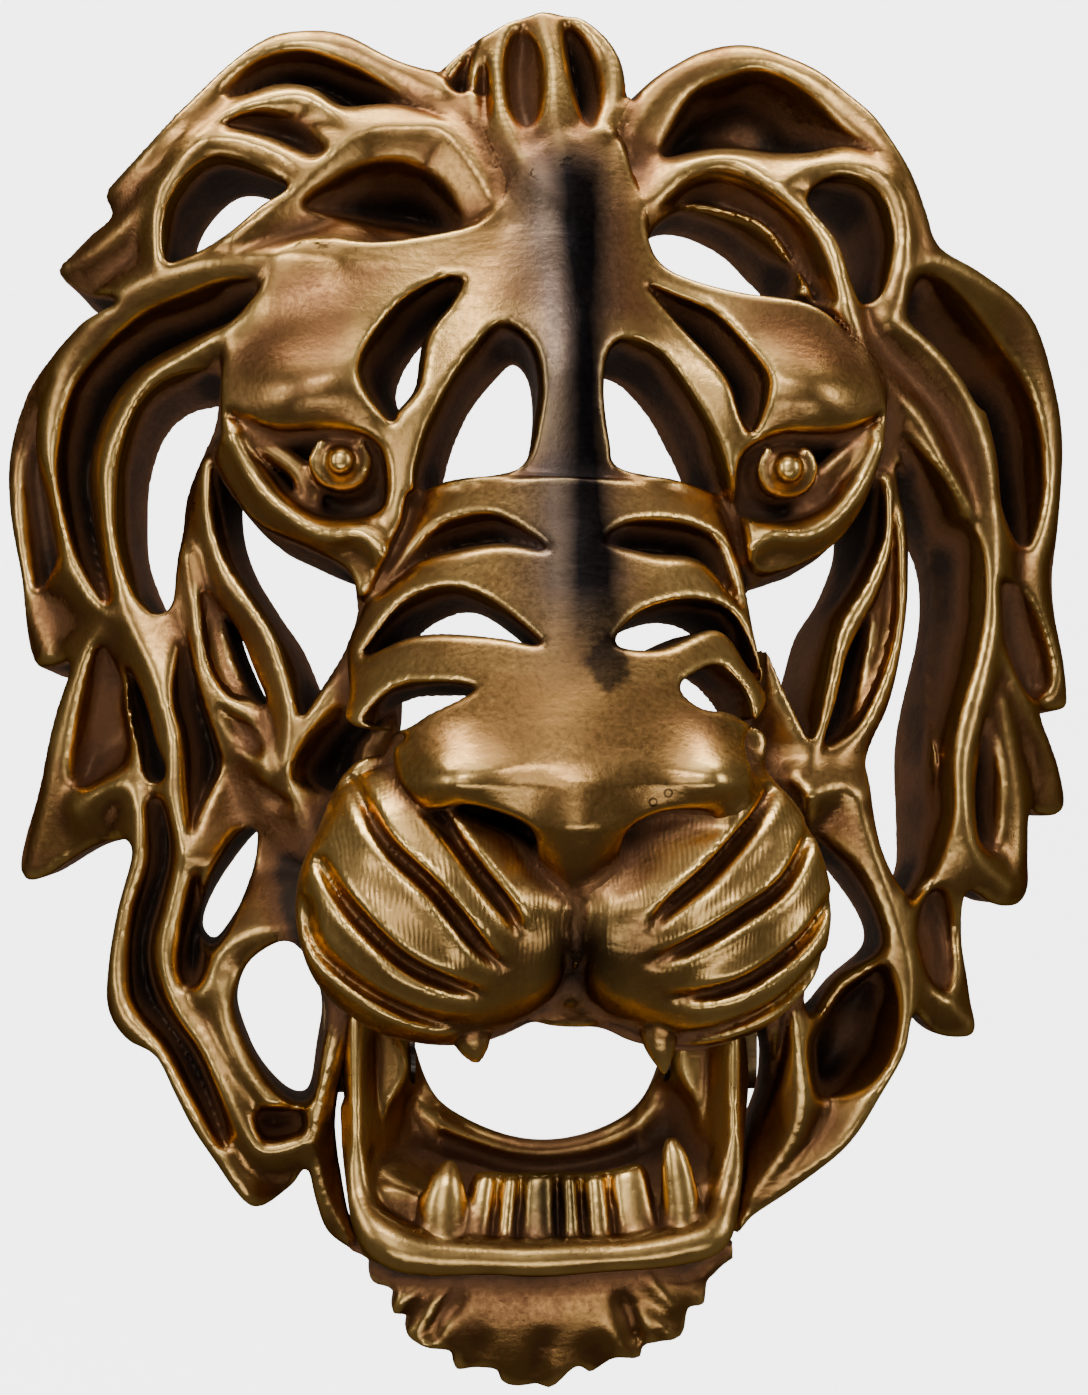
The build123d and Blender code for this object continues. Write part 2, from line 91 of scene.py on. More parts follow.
def outline_distance(points, x, z, margin=8.0):
    """Distance to a closed outline over the x, z grid, negative inside."""
    curve = smooth(points, True)
    where = window(curve, x, z, margin)
    result = np.full((len(x), len(z)), FAR)
    gx, gz = x[where[0]][:, None], z[where[1]][None, :]
    nearest = np.full((gx.size, gz.size), 1e9)
    inside = np.zeros((gx.size, gz.size), bool)
    for (ax, az), (bx, bz) in zip(curve, np.roll(curve, -1, 0)):
        dx, dz = bx - ax, bz - az
        length = dx * dx + dz * dz
        if length < 1e-9:
            continue
        t = np.clip(((gx - ax) * dx + (gz - az) * dz) / length, 0, 1)
        nearest = np.minimum(nearest, (gx - ax - t * dx) ** 2 + (gz - az - t * dz) ** 2)
        if az != bz:
            crosses = (az > gz) != (bz > gz)
            inside ^= crosses & (gx < ax + (gz - az) * dx / dz)
    distance = np.sqrt(nearest)
    result[where] = np.where(inside, -distance, distance)
    return result


def path_distance(points, x, z, margin=26.0):
    """Where a path reaches over the x, z grid; there, the distance to it, the side (1 is left) and how
    far along it, from 0 to 1, the nearest point lies."""
    curve = smooth(points, False)
    where = window(curve, x, z, margin)
    gx, gz = x[where[0]][:, None], z[where[1]][None, :]
    nearest = np.full((gx.size, gz.size), 1e9)
    side = np.zeros((gx.size, gz.size))
    along = np.zeros((gx.size, gz.size))
    for i, ((ax, az), (bx, bz)) in enumerate(zip(curve[:-1], curve[1:])):
        dx, dz = bx - ax, bz - az
        length = max(dx * dx + dz * dz, 1e-9)
        t = np.clip(((gx - ax) * dx + (gz - az) * dz) / length, 0, 1)
        square = (gx - ax - t * dx) ** 2 + (gz - az - t * dz) ** 2
        closer = square < nearest
        nearest = np.where(closer, square, nearest)
        side = np.where(closer, np.sign(dx * (gz - az) - dz * (gx - ax)), side)
        along = np.where(closer, (i + t) / (len(curve) - 1), along)
    return where, np.sqrt(nearest), side, along


def soft_max(a, b, r):
    """The larger of two fields, with the corner between them rounded over r."""
    h = np.maximum(r - np.abs(a - b), 0) / r
    return np.maximum(a, b) + h * h * r * 0.25


def soft_min(a, b, r):
    return -soft_max(-a, -b, r)


def bump(distance, width):
    return np.exp(-(distance / width) ** 2)


def ease(value, low, high):
    t = np.clip((value - low) / (high - low), 0, 1)
    return t * t * (3 - 2 * t)


def dome(apex, x, z):
    """Front height of a head-shaped dome that stands apex off the door at its middle."""
    side = apex - SIDE_RADIUS + np.sqrt(SIDE_RADIUS ** 2 - np.clip(x, -140, 140) ** 2)
    tall = apex - TALL_RADIUS + np.sqrt(TALL_RADIUS ** 2 - (z - HEAD_MID_Z) ** 2)
    return soft_min(side, tall, 6.0)


# ---------------------------------------------------------------- fields
class Field:
    """A block of distance samples on the common grid, that walls are added to and cut from."""

    def __init__(self, *ranges):
        self.start = np.array([math.floor(low / GRID) for low, high in ranges])
        self.stop = np.array([math.ceil(high / GRID) + 1 for low, high in ranges])
        self.x, self.h, self.z = (np.arange(a, b) * GRID for a, b in zip(self.start, self.stop))
        self.value = np.full(self.stop - self.start, FAR, np.float32)
        self.front = np.zeros((len(self.x), len(self.z)))

    def plan(self):
        return self.x[:, None], self.z[None, :]

    def space(self, part=(slice(None),) * 3):
        x, h, z = (axis[where] for axis, where in zip((self.x, self.h, self.z), part))
        return x[:, None, None], h[None, :, None], z[None, None, :]

    def wall(self, outline, front, back, edge=1.4, blend=1.0):
        """Add the solid inside an outline, between its front and back heights."""
        flat = outline_distance(outline, self.x, self.z)
        slope = np.sqrt(1 + sum(g ** 2 for g in np.gradient(front, GRID)))
        h = self.h[None, :, None]
        solid = soft_max((h - front[:, None, :]) / slope[:, None, :], flat[:, None, :], edge)
        solid = soft_max(solid, back[:, None, :] - h + 0 * solid, BACK_EDGE)
        self.value = soft_min(self.value, solid, blend).astype(np.float32)
        self.front = np.maximum(self.front, np.where(flat < 1, front, 0))

    def hole(self, outline, edge=1.1, draft=0.03):
        """Cut through the wall; draft narrows the hole toward the door, and may close it."""
        flat = outline_distance(outline, self.x, self.z)
        cut = flat[:, None, :] + draft * (self.front[:, None, :] - self.h[None, :, None])
        self.value = soft_max(self.value, -cut, edge).astype(np.float32)

    def pocket(self, outline, depth, edge=1.6, draft=0.35):
        """Cut a hollow of the given depth below the front."""
        flat = outline_distance(outline, self.x, self.z)
        below = self.front[:, None, :] - self.h[None, :, None]
        cut = soft_max(flat[:, None, :] + draft * below, below - depth, 2.5)
        self.value = soft_max(self.value, -cut, edge).astype(np.float32)

    def tube(self, path, blend=1.0):
        """Add a round bar along a path of (x, h, z, radius)."""
        curve = smooth(path, False, 6)
        reach = curve[:, 3].max() + 4
        low, high = curve[:, :3].min(0) - reach, curve[:, :3].max(0) + reach
        ends = zip((self.x, self.h, self.z), low, high)
        part = tuple(slice(*np.searchsorted(axis, (first, last))) for axis, first, last in ends)
        gx, gh, gz = self.space(part)
        nearest = None
        for a, b in zip(curve[:-1], curve[1:]):
            d = b - a
            length = max(float(d[:3] @ d[:3]), 1e-9)
            t = np.clip(((gx - a[0]) * d[0] + (gh - a[1]) * d[1] + (gz - a[2]) * d[2]) / length, 0, 1)
            px, ph, pz = gx - a[0] - t * d[0], gh - a[1] - t * d[1], gz - a[2] - t * d[2]
            r = np.sqrt(px ** 2 + ph ** 2 + pz ** 2) - a[3] - t * d[3]
            nearest = r if nearest is None else np.minimum(nearest, r)
        self.value[part] = soft_min(self.value[part], nearest, blend)

    def ball(self, centre, radii, blend=1.0, cut=False):
        """Add or cut an ellipsoid."""
        gx, gh, gz = ((axis - middle) / radius for axis, middle, radius in zip(self.space(), centre, radii))
        solid = (np.sqrt(gx ** 2 + gh ** 2 + gz ** 2) - 1) * min(radii)
        joined = soft_max(self.value, -solid, blend) if cut else soft_min(self.value, solid, blend)
        self.value = joined.astype(np.float32)


def box_blur(volume, reach):
    """Average over a cube of 2 * reach + 1 samples a side."""
    for axis in range(3):
        pad = [(0, 0)] * 3
        pad[axis] = (reach + 1, reach)
        total = np.cumsum(np.pad(volume, pad), axis=axis, dtype=np.float32)
        size = volume.shape[axis]
        high = np.take(total, range(2 * reach + 1, 2 * reach + 1 + size), axis)
        low = np.take(total, range(0, size), axis)
        volume = (high - low) / (2 * reach + 1)
    return volume


def sample(volume, index):
    """Values of a volume at fractional grid places."""
    index = np.clip(index, 0, np.array(volume.shape) - 1.001)
    base = index.astype(int)
    part = index - base
    result = 0
    for corner in range(8):
        step = np.array([corner & 1, corner >> 1 & 1, corner >> 2 & 1])
        weight = np.prod(np.where(step, part, 1 - part), axis=1)
        result = result + weight * volume[tuple((base + step).T)]
    return result


def surface(value):
    """Surface nets: one vertex in every grid cell that the surface crosses, four cells to a face."""
    solid = value < 0
    cells = [slice(0, -1), slice(1, None)]
    corners = [(i, j, k) for i in (0, 1) for j in (0, 1) for k in (0, 1)]
    count = sum(solid[tuple(cells[c] for c in corner)].astype(np.int8) for corner in corners)
    active = (count > 0) & (count < 8)
    number = np.full(active.shape, -1, np.int64)
    number[active] = np.arange(active.sum())
    base = np.argwhere(active)
    at = {corner: value[tuple((base + corner).T)] for corner in corners}
    place = np.zeros((len(base), 3))
    found = np.zeros(len(base))
    for a in corners:
        for axis in range(3):
            if a[axis]:
                continue
            b = tuple(1 if i == axis else c for i, c in enumerate(a))
            crossed = (at[a] < 0) != (at[b] < 0)
            t = at[a] / np.where(crossed, at[a] - at[b], 1)
            point = np.array(a, float)[None, :] + t[:, None] * (np.array(b) - np.array(a))[None, :]
            place[crossed] += point[crossed]
            found += crossed
    vertices = base + place / found[:, None]
    faces = []
    for axis in range(3):
        low = [slice(1, -1)] * 3
        high = [slice(1, -1)] * 3
        low[axis], high[axis] = slice(0, -1), slice(1, None)
        near, far = solid[tuple(low)], solid[tuple(high)]
        edge = np.argwhere(near != far)
        outward = near[near != far]
        edge += np.array([0 if i == axis else 1 for i in range(3)])
        u, v = [i for i in range(3) if i != axis]
        step_u, step_v = np.eye(3, dtype=int)[u], np.eye(3, dtype=int)[v]
        ring = [edge - step_u - step_v, edge - step_v, edge, edge - step_u]
        quad = np.stack([number[tuple(corner.T)] for corner in ring], axis=1)
        turned = outward if axis != 1 else ~outward
        faces.append(np.where(turned[:, None], quad, quad[:, ::-1]))
    return vertices, np.vstack(faces)


def relax(vertices, faces, rounds):
    """Even out the net: each vertex moves part of the way to the middle of its neighbours."""
    ends = np.vstack([faces[:, [0, 1]], faces[:, [1, 2]], faces[:, [2, 3]], faces[:, [3, 0]]])
    ends = np.vstack([ends, ends[:, ::-1]])
    number = np.bincount(ends[:, 0], minlength=len(vertices))[:, None]
    for amount in rounds:
        middle = np.stack(
            [np.bincount(ends[:, 0], vertices[ends[:, 1], i], len(vertices)) for i in range(3)], axis=1)
        vertices = vertices + amount * (middle / np.maximum(number, 1) - vertices)
    return vertices


def join(fields, blends):
    """Run castings into each other: the joined field, and each casting's own share of it.

    A share stops half way to its neighbour, and reaches a little past that so that no line shows.
    """
    start = np.min([f.start for f in fields], axis=0)
    stop = np.max([f.stop for f in fields], axis=0)
    windows = [tuple(slice(*pair) for pair in zip(f.start - start, f.stop - start)) for f in fields]
    joined, best, second = (np.full(stop - start, FAR, np.float32) for _ in range(3))
    for f, window, blend in zip(fields, windows, blends):
        joined[window] = soft_min(joined[window], f.value, blend)
        nearer = f.value < best[window]
        second[window] = np.where(nearer, best[window], np.minimum(second[window], f.value))
        best[window] = np.minimum(best[window], f.value)
    shares = []
    for f, window in zip(fields, windows):
        others = np.where(f.value <= best[window], second[window], best[window])
        shares.append(np.maximum(joined[window], (f.value - others) / 2 - SHARE_OVERLAP))
    return start, joined, windows, shares


def smeared(values, reach):
    """A plan of values averaged over a square of 2 * reach + 1 samples a side."""
    return box_blur(values[:, None, :].astype(np.float32), reach)[:, 0, :]


def relief_of(joined, start):
    """How high the local surface lies, as a plan: the front of the casting, smoothed over holes."""
    solid = joined < 0
    any_solid = solid.any(axis=1)
    top = joined.shape[1] - 1 - np.argmax(solid[:, ::-1, :], axis=1)
    height = np.where(any_solid, (top + start[1]) * GRID, 0)
    reach = round(RELIEF_REACH / GRID)
    cover = smeared(any_solid, reach)
    return smeared(height, reach) / np.maximum(cover, 1e-3)


def leant(places, surface_height):
    """Lean the sides of the ribs toward the middle of the head, as the deeper parts of a dome lie."""
    x, h, z = places.T
    depth = np.clip(surface_height - h, 0, LEAN_DEPTH)
    held = ease(z, -78, -40)
    inward = LEAN * np.tanh(x / 14) * depth * held
    down = LEAN * 0.75 * ease(z, -62, 10) * depth
    return np.stack([x - inward, h, z - down], axis=1)


def cast(castings, body):
    """Turn rows of field, blend, name, CAD nodes and material into mesh pieces that ride on a body."""
    fields, blends, *_ = zip(*castings)
    start, joined, windows, shares = join(fields, blends)
    solid = (joined < 0).astype(np.float32)
    # These averages feed the bronze's colour: painted highlight on sharp edges and raised ridges, painted
    # shade in closed-in and sunken hollows.
    edge = box_blur(solid, max(1, round(EDGE_REACH / GRID)))
    cavity = box_blur(solid, round(CAVITY_REACH / GRID))
    level = relief_of(joined, start)
    reach = round(LEVEL_REACH / GRID)
    even = smeared(level, reach) / smeared(np.ones_like(level), reach)
    for (*_, name, nodes, material), window, share in zip(castings, windows, shares):
        vertices, faces = surface(share)
        index = vertices + np.array([part.start for part in window])
        places = (relax(index, faces, (0.5, -0.35, 0.5)) + start) * GRID
        plan = np.stack([index[:, 0], index[:, 2]], axis=1).round().astype(int)
        relief = (places[:, 1] - level[tuple(plan.T)]) / RELIEF_UNIT
        if body == "head":
            places = leant(places, even[tuple(plan.T)])
        shades = {"edge": sample(edge, index), "cavity": sample(cavity, index), "relief": relief}
        piece = mesh_piece(name, places, faces, shades, material)
        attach(piece, body)
        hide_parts(*nodes)


def add_object(name, data):
    thing = bpy.data.objects.new(name, data)
    bpy.context.scene.collection.objects.link(thing)
    return thing


def mesh_piece(name, places, faces, shades, material):
    """A smooth mesh object from places in millimetres, with a value of each shade at each vertex."""
    mesh = bpy.data.meshes.new(name)
    mesh.vertices.add(len(places))
    mesh.loops.add(faces.size)
    mesh.polygons.add(len(faces))
    position = np.stack([places[:, 0], -places[:, 1], places[:, 2]], axis=1) * MM
    mesh.vertices.foreach_set("co", position.astype(np.float32).ravel())
    mesh.loops.foreach_set("vertex_index", faces[:, ::-1].astype(np.int32).ravel())
    mesh.polygons.foreach_set("loop_start", np.arange(0, faces.size, 4, dtype=np.int32))
    mesh.polygons.foreach_set("use_smooth", np.ones(len(faces), bool))
    for label, values in shades.items():
        layer = mesh.attributes.new(label, "FLOAT", "POINT")
        layer.data.foreach_set("value", values.astype(np.float32))
    mesh.update()
    mesh.validate()
    mesh.materials.append(material)
    return add_object(name, mesh)


def comb(field, base, floor, ridges):
    """A front of locks of hair: ridges that stand over the base and fall off to a floor below it."""
    front = base - floor
    for rise, left, right, path in ridges:
        where, away, side, _ = path_distance(path, field.x, field.z)
        rounded = np.sqrt(away ** 2 + 1.2) - 1.1
        ridge = base[where] + rise - np.where(side > 0, left, right) * rounded
        front[where] = soft_max(front[where], ridge, 2.0)
    return front


# ---------------------------------------------------------------- mane
def wavy(field, amount):
    """Work a slow unevenness into the field, as a hand-carved pattern has."""
    x, h, z = field.space()
    wave = np.sin(x / 6.1 + h / 9 + 1) * np.sin(z / 7.3 - h / 8) + 0.5 * np.sin(x / 3.3 - z / 3.9 + h / 4.4)
    field.value = (field.value + amount * wave).astype(np.float32)


def carved(field, outline, front, back, drafted=(), holes=(), pockets=()):
    """A wall with holes, some with a draft of their own, and with pockets of the given depths."""
    field.wall(outline, front, back)
    for draft, hole in drafted:
        field.hole(hole, draft=draft)
    for hole in holes:
        field.hole(hole)
    for depth, pocket in pockets:
        field.pocket(pocket, depth)
    wavy(field, 0.15)
    return field


def mane_left():
    field = Field((-116, -2), (0, 74), (-141, 117))
    x, z = field.plan()
    base = np.maximum(dome(MANE_APEX, x, z), MANE_FLOOR)
    ridges = [
        (3, .45, .5, [(-23, 99), (-31, 104), (-41, 109), (-49, 110), (-58, 108), (-65, 104), (-72, 95),
            (-82, 85), (-88, 79)]),
        (4, 1, 1, [(-41, 91), (-49, 97), (-56, 97), (-64, 94), (-71, 88)]),
        (4.5, .8, 1, [(-51, 82), (-58, 86), (-65, 88), (-71, 87), (-76, 82), (-80, 74), (-80, 63)]),
        (3.5, .6, .6, [(-80, 78), (-87, 71), (-94, 66), (-99, 64)]),
        (5, .6, .8, [(-65, 67), (-54, 76), (-45, 85), (-38, 90), (-29, 91), (-22, 90), (-16, 82), (-13, 76),
            (-10, 70)]),
        (4.5, .5, .8, [(-45, 63), (-59, 63), (-71, 62), (-84, 59), (-93, 52), (-100, 44), (-103, 33),
            (-103, 21), (-101, 8), (-95, -2), (-90, -7)]),
        (2, .6, .8, [(-104, 44), (-110, 36), (-112, 26), (-110, 11), (-108, -4), (-104, -15)]),
        (4.5, .8, .8, [(-62, 52), (-71, 46), (-80, 41), (-86, 33), (-90, 24), (-91, 14), (-89, 4), (-87, -5),
            (-84, -12), (-80, -21), (-77, -31), (-77, -43), (-75, -55)]),
        (3.5, .6, .6, [(-92, -10), (-97, -20), (-101, -33), (-103, -45), (-107, -59)]),
        (4, .8, .8, [(-96, -46), (-91, -42), (-86, -42), (-84, -46), (-84, -55), (-87, -65), (-89, -78),
            (-87, -88), (-80, -95), (-74, -105), (-68, -114), (-62, -124)]),
        (4, .8, .8, [(-75, -55), (-77, -65), (-79, -75), (-77, -85), (-71, -94), (-66, -103), (-62, -110),
            (-58, -114), (-50, -112)]),
        (3.5, .8, .6, [(-71, -83), (-67, -75), (-61, -71), (-51, -69)]),
        (3, .6, .8, [(-68, -82), (-66, -91), (-61, -100), (-54, -107), (-49, -108)]),
        (3, .8, .8, [(-44, -86), (-47, -99), (-49, -112), (-46, -125), (-40, -135)]),
    ]
    front = comb(field, base, 5, ridges)
    back = np.maximum(base - WALL_DEPTH, DOOR_GAP)
    outline = [(-25, 104), (-31, 106), (-42, 112), (-49, 113), (-57, 111), (-65, 105), (-74, 96), (-82, 87),
        (-89, 81), (-91, 78), (-90, 74), (-95, 70), (-100, 65), (-100, 62), (-95, 59), (-88, 56), (-96, 52),
        (-104, 45), (-109, 38), (-112, 30), (-113, 21), (-111, 9), (-109, -2), (-108, -12), (-106, -17),
        (-98, -17), (-102, -29), (-105, -41), (-109, -56), (-108, -61), (-104, -61), (-95, -55), (-89, -53),
        (-86, -53), (-85, -56), (-88, -67), (-90, -79), (-90, -87), (-86, -93), (-80, -96), (-76, -104),
        (-70, -114), (-63, -124), (-59, -126), (-53, -122), (-50, -118), (-48, -125), (-45, -132),
        (-37, -137), (-41, -130), (-43, -120), (-44, -106), (-42, -92), (-42, -80), (-46, -60), (-51, -44),
        (-59, -29), (-66, -13), (-70, 4), (-70, 22), (-66, 35), (-61, 47), (-51, 56), (-31, 61), (-11, 68),
        (-6, 82), (-11, 95), (-21, 100)]
    drafted = (
        (0.0, [(-78, 64), (-78, 73), (-74, 80), (-68, 84), (-60, 82), (-54, 78), (-59, 74), (-66, 68),
            (-74, 64)]),
        (0.50, [(-51, 74), (-43, 81), (-36, 84), (-29, 84), (-23, 80), (-20, 75), (-20, 70), (-31, 70),
            (-42, 72)]))
    holes = (
        [(-73, 41), (-68, 41), (-69, 36), (-72, 26), (-75, 16), (-75, 6), (-76, -3), (-79, -7), (-82, -6),
            (-85, -2), (-88, 8), (-88, 18), (-87, 26), (-84, 34), (-79, 39)],
        [(-86, -18), (-86, -25), (-84, -33), (-82, -40), (-79, -41), (-78, -38), (-80, -33), (-82, -26)],
        [(-61, -50), (-65, -52), (-70, -61), (-72, -70), (-69, -74), (-66, -71), (-63, -64), (-61, -56)],
        [(-61, -76), (-55, -72), (-51, -74), (-48, -79), (-46, -86), (-47, -94), (-49, -104), (-54, -104),
            (-60, -97), (-64, -88), (-64, -82)],
        [(-43, -103), (-42, -110), (-41, -119), (-43, -117), (-44, -110)])
    pockets = (
        (14, [(-67, 98), (-63, 103), (-57, 107), (-49, 108), (-39, 104), (-30, 98), (-22, 93), (-31, 96),
            (-43, 95), (-49, 99), (-56, 100), (-62, 98)]),
        (6, [(-67, 91), (-61, 94), (-54, 93), (-49, 90), (-46, 86), (-49, 84), (-56, 88), (-63, 90)]),
        (18, [(-59, 58), (-65, 59), (-73, 57), (-82, 54), (-90, 48), (-97, 40), (-100, 31), (-101, 21),
            (-99, 10), (-95, 1), (-91, -5), (-89, -4), (-90, 4), (-91, 14), (-92, 24), (-89, 34), (-84, 40),
            (-77, 44), (-69, 48), (-62, 50), (-59, 54)]),
        (9, [(-102, 41), (-107, 33), (-109, 24), (-108, 11), (-106, -1), (-103, 0), (-99, 5), (-101, 17),
            (-104, 27), (-104, 36)]),
        (6, [(-92, -13), (-87, -19), (-86, -25), (-85, -36), (-88, -40), (-95, -43), (-98, -39),
            (-96, -25)]),
        (14, [(-82, -45), (-78, -45), (-76, -55), (-78, -65), (-80, -75), (-77, -85), (-71, -94),
            (-67, -103), (-65, -112), (-68, -113), (-73, -104), (-78, -95), (-85, -86), (-86, -78),
            (-85, -67), (-82, -57)]),
        (14, [(-73, -60), (-71, -59), (-70, -65), (-69, -75), (-71, -81), (-74, -82), (-76, -77),
            (-75, -68)]),
        (12, [(-74, -10), (-71, -21), (-68, -31), (-67, -38), (-70, -45), (-73, -51), (-74, -45), (-75, -33),
            (-77, -23)]),
        (8, [(-60, -106), (-51, -105), (-50, -110), (-54, -112), (-59, -112)]))
    return carved(field, outline, front, back, drafted, holes, pockets)


def mane_right():
    field = Field((8, 117), (0, 74), (-138, 114))
    x, z = field.plan()
    base = np.maximum(dome(MANE_APEX, x, z), MANE_FLOOR)
    ridges = [
        (3, .5, .45, [(16, 92), (23, 101), (31, 106), (40, 108), (49, 106), (59, 100), (67, 91), (72, 81),
            (76, 69)]),
        (4.5, .8, .8, [(18, 75), (25, 82), (33, 85), (40, 83), (48, 76), (55, 68), (57, 58), (61, 46),
            (66, 38)]),
        (4.5, .8, .8, [(46, 80), (52, 83), (60, 84), (66, 82), (70, 76), (71, 67), (69, 54)]),
        (4, .7, .6, [(72, 63), (78, 65), (88, 62), (98, 57), (104, 49), (108, 38), (109, 26), (107, 13),
            (104, 4), (105, -6), (109, -16), (112, -25)]),
        (5, .7, .7, [(68, 52), (76, 47), (84, 39), (89, 30), (92, 18), (93, 4), (92, -10), (88, -25),
            (85, -37), (85, -48), (88, -57), (95, -63)]),
        (4, .7, .7, [(61, 46), (68, 38), (75, 31), (80, 22), (84, 14)]),
        (4, .7, .7, [(95, -16), (101, -27), (107, -37), (110, -47)]),
        (4, .7, .7, [(94, -25), (97, -37), (99, -49), (98, -63)]),
        (4, .8, .8, [(60, -44), (64, -56), (69, -69), (72, -81), (70, -94), (64, -104), (57, -114),
            (47, -122), (38, -131)]),
        (3.5, .8, .8, [(70, -65), (75, -77), (80, -85), (86, -91)]),
        (3.5, .8, .8, [(45, -81), (48, -94), (49, -104), (47, -114), (40, -125)]),
        (3.5, .8, .8, [(48, -44), (56, -42), (61, -44)]),
    ]
    front = comb(field, base, 5, ridges)
    back = np.maximum(base - WALL_DEPTH, DOOR_GAP)
    outline = [(15, 96), (20, 102), (27, 107), (33, 110), (41, 111), (50, 108), (58, 103), (66, 95),
        (72, 85), (76, 76), (79, 68), (88, 64), (98, 59), (104, 54), (108, 45), (111, 33), (111, 20),
        (110, 8), (110, -2), (112, -12), (114, -22), (113, -26), (105, -27), (108, -33), (113, -42),
        (113, -47), (108, -49), (102, -48), (102, -56), (102, -63), (99, -67), (93, -67), (86, -64),
        (86, -74), (87, -86), (88, -92), (86, -94), (79, -93), (73, -88), (71, -96), (66, -104), (59, -114),
        (49, -123), (40, -129), (37, -133), (38, -123), (39, -114), (42, -104), (42, -92), (42, -82),
        (51, -70), (53, -54), (48, -40), (51, -36), (60, -29), (64, -13), (67, 3), (68, 15), (66, 27),
        (64, 39), (58, 51), (48, 58), (38, 57), (26, 60), (17, 68), (13, 80), (10, 91)]
    holes = (
        [(19, 69), (25, 75), (31, 76), (39, 73), (46, 67), (50, 63), (48, 57), (40, 58), (28, 61), (21, 64)],
        [(51, 76), (55, 81), (61, 81), (66, 77), (68, 68), (66, 58), (62, 55), (60, 57), (58, 63), (56, 68)],
        [(72, 56), (76, 58), (84, 52), (90, 44), (92, 37), (88, 36), (84, 41), (78, 47), (72, 52)],
        [(70, 24), (76, 20), (81, 13), (84, 4), (84, -8), (81, -23), (79, -35), (79, -48), (77, -59),
            (72, -64), (67, -57), (64, -47), (63, -37), (66, -29), (69, -17), (72, -4), (72, 8), (69, 16)],
        [(53, -52), (60, -58), (66, -69), (66, -76), (58, -82), (52, -88), (49, -84), (52, -74), (54, -64)],
        [(37, -96), (40, -92), (43, -94), (43, -102), (40, -110), (37, -114), (35, -107)])
    pockets = (
        (16, [(22, 85), (24, 92), (29, 100), (37, 104), (44, 105), (52, 101), (59, 93), (66, 87), (60, 88),
            (53, 86), (45, 86), (34, 86)]),
        (9, [(21, 74), (27, 80), (33, 82), (40, 80), (48, 74), (53, 66), (56, 56), (52, 56), (48, 64),
            (42, 71), (34, 75), (27, 75)]),
        (20, [(73, 61), (78, 62), (85, 58), (94, 50), (101, 42), (105, 32), (106, 21), (104, 12), (101, 7),
            (97, 9), (93, 16), (92, 26), (89, 36), (84, 43), (78, 49), (72, 53)]),
        (14, [(70, 28), (78, 23), (84, 16), (89, 7), (90, -4), (88, -15), (84, -27), (82, -37), (82, -48),
            (79, -59), (75, -65), (71, -64), (77, -45), (78, -12), (78, 8)]),
        (12, [(90, -28), (93, -37), (94, -46), (93, -56), (88, -54), (87, -45), (88, -36)]),
        (5, [(93, 0), (100, -2), (106, -12), (108, -22), (101, -24), (95, -14)]),
        (14, [(67, -78), (70, -87), (68, -97), (62, -103), (54, -105), (51, -102), (50, -93), (56, -85),
            (62, -80)]),
        (12, [(46, -85), (46, -96), (43, -106), (39, -114), (40, -108), (43, -96), (44, -86)]),
        (6, [(75, -66), (80, -63), (83, -69), (84, -79), (81, -85), (76, -82), (73, -73)]))
    return carved(field, outline, front, back, holes=holes, pockets=pockets)


# ---------------------------------------------------------------- crest
def crest():
    field = Field((-28, 18), (4, 74), (60, 119))
    x, z = field.plan()
    base = dome(69, x, z) - ((x + 2) / 10) ** 2
    ridges = [
        (3.5, 0.45, 0.5, [(-2, 117), (-0.5, 107), (0, 96), (1, 86), (2, 76), (3, 68)]),
        (3.5, 0.9, 0.55, [(-8, 116), (-11.5, 106), (-11.5, 96), (-9, 88), (-5, 80), (0, 72)]),
        (2.5, 0.8, 0.8, [(-10, 113), (-19, 106), (-23, 100)]),
        (3.0, 0.8, 0.8, [(6, 115), (12.5, 108), (13, 98), (9, 91)]),
    ]
    front = comb(field, base, 2.5, ridges)
    outline = [(-3, 117), (3, 117), (10, 114), (15, 105), (15, 95), (10, 88), (8, 78), (4, 66), (-5, 66),
        (-9, 77), (-13, 88), (-16, 93), (-25, 102), (-19, 108), (-10, 114)]
    pockets = (
        (10, [(-13.5, 106), (-12, 101), (-12.5, 94), (-14.5, 90), (-16, 96), (-16, 102)]),
        (14, [(3, 114), (7, 112), (10, 104), (10, 97), (7.5, 91), (4.5, 97), (3, 105)]),
        (4, [(-6, 113), (-2, 108), (-1.5, 100), (-3, 93), (-6, 91), (-9, 95), (-10, 102), (-9, 109)]),
        (7, [(-15, 110), (-20, 105), (-22, 100), (-18, 97), (-17, 104)]))
    return carved(field, outline, front, base - WALL_DEPTH, pockets=pockets)


# ---------------------------------------------------------------- face
EYES = ((-43.5, 22.5), (45, 21.5))
SOCKETS = (
    [(-66, 33), (-58, 29.5), (-50, 29), (-42, 28.5), (-36, 26), (-34, 20), (-35, 13), (-41, 10.5),
        (-48, 11.5), (-54, 15), (-58, 20), (-63, 26)],
    [(65, 33), (58, 30), (51, 29), (43, 28.5), (36, 25), (34, 18), (35, 12), (41, 10), (48, 11), (54, 14.5),
        (58, 20), (62, 26)])
LIDS = (
    [(-65, 27), (-60, 18), (-54, 12), (-47, 8), (-40, 8), (-35, 4)],
    [(35, 4), (41, 8), (48, 8), (54, 11), (60, 18), (64, 26)])
CORNERS = (
    [(-63, 28), (-57, 25), (-52, 21), (-50, 16)],
    [(50, 15), (53, 20), (57, 24), (62, 28)])


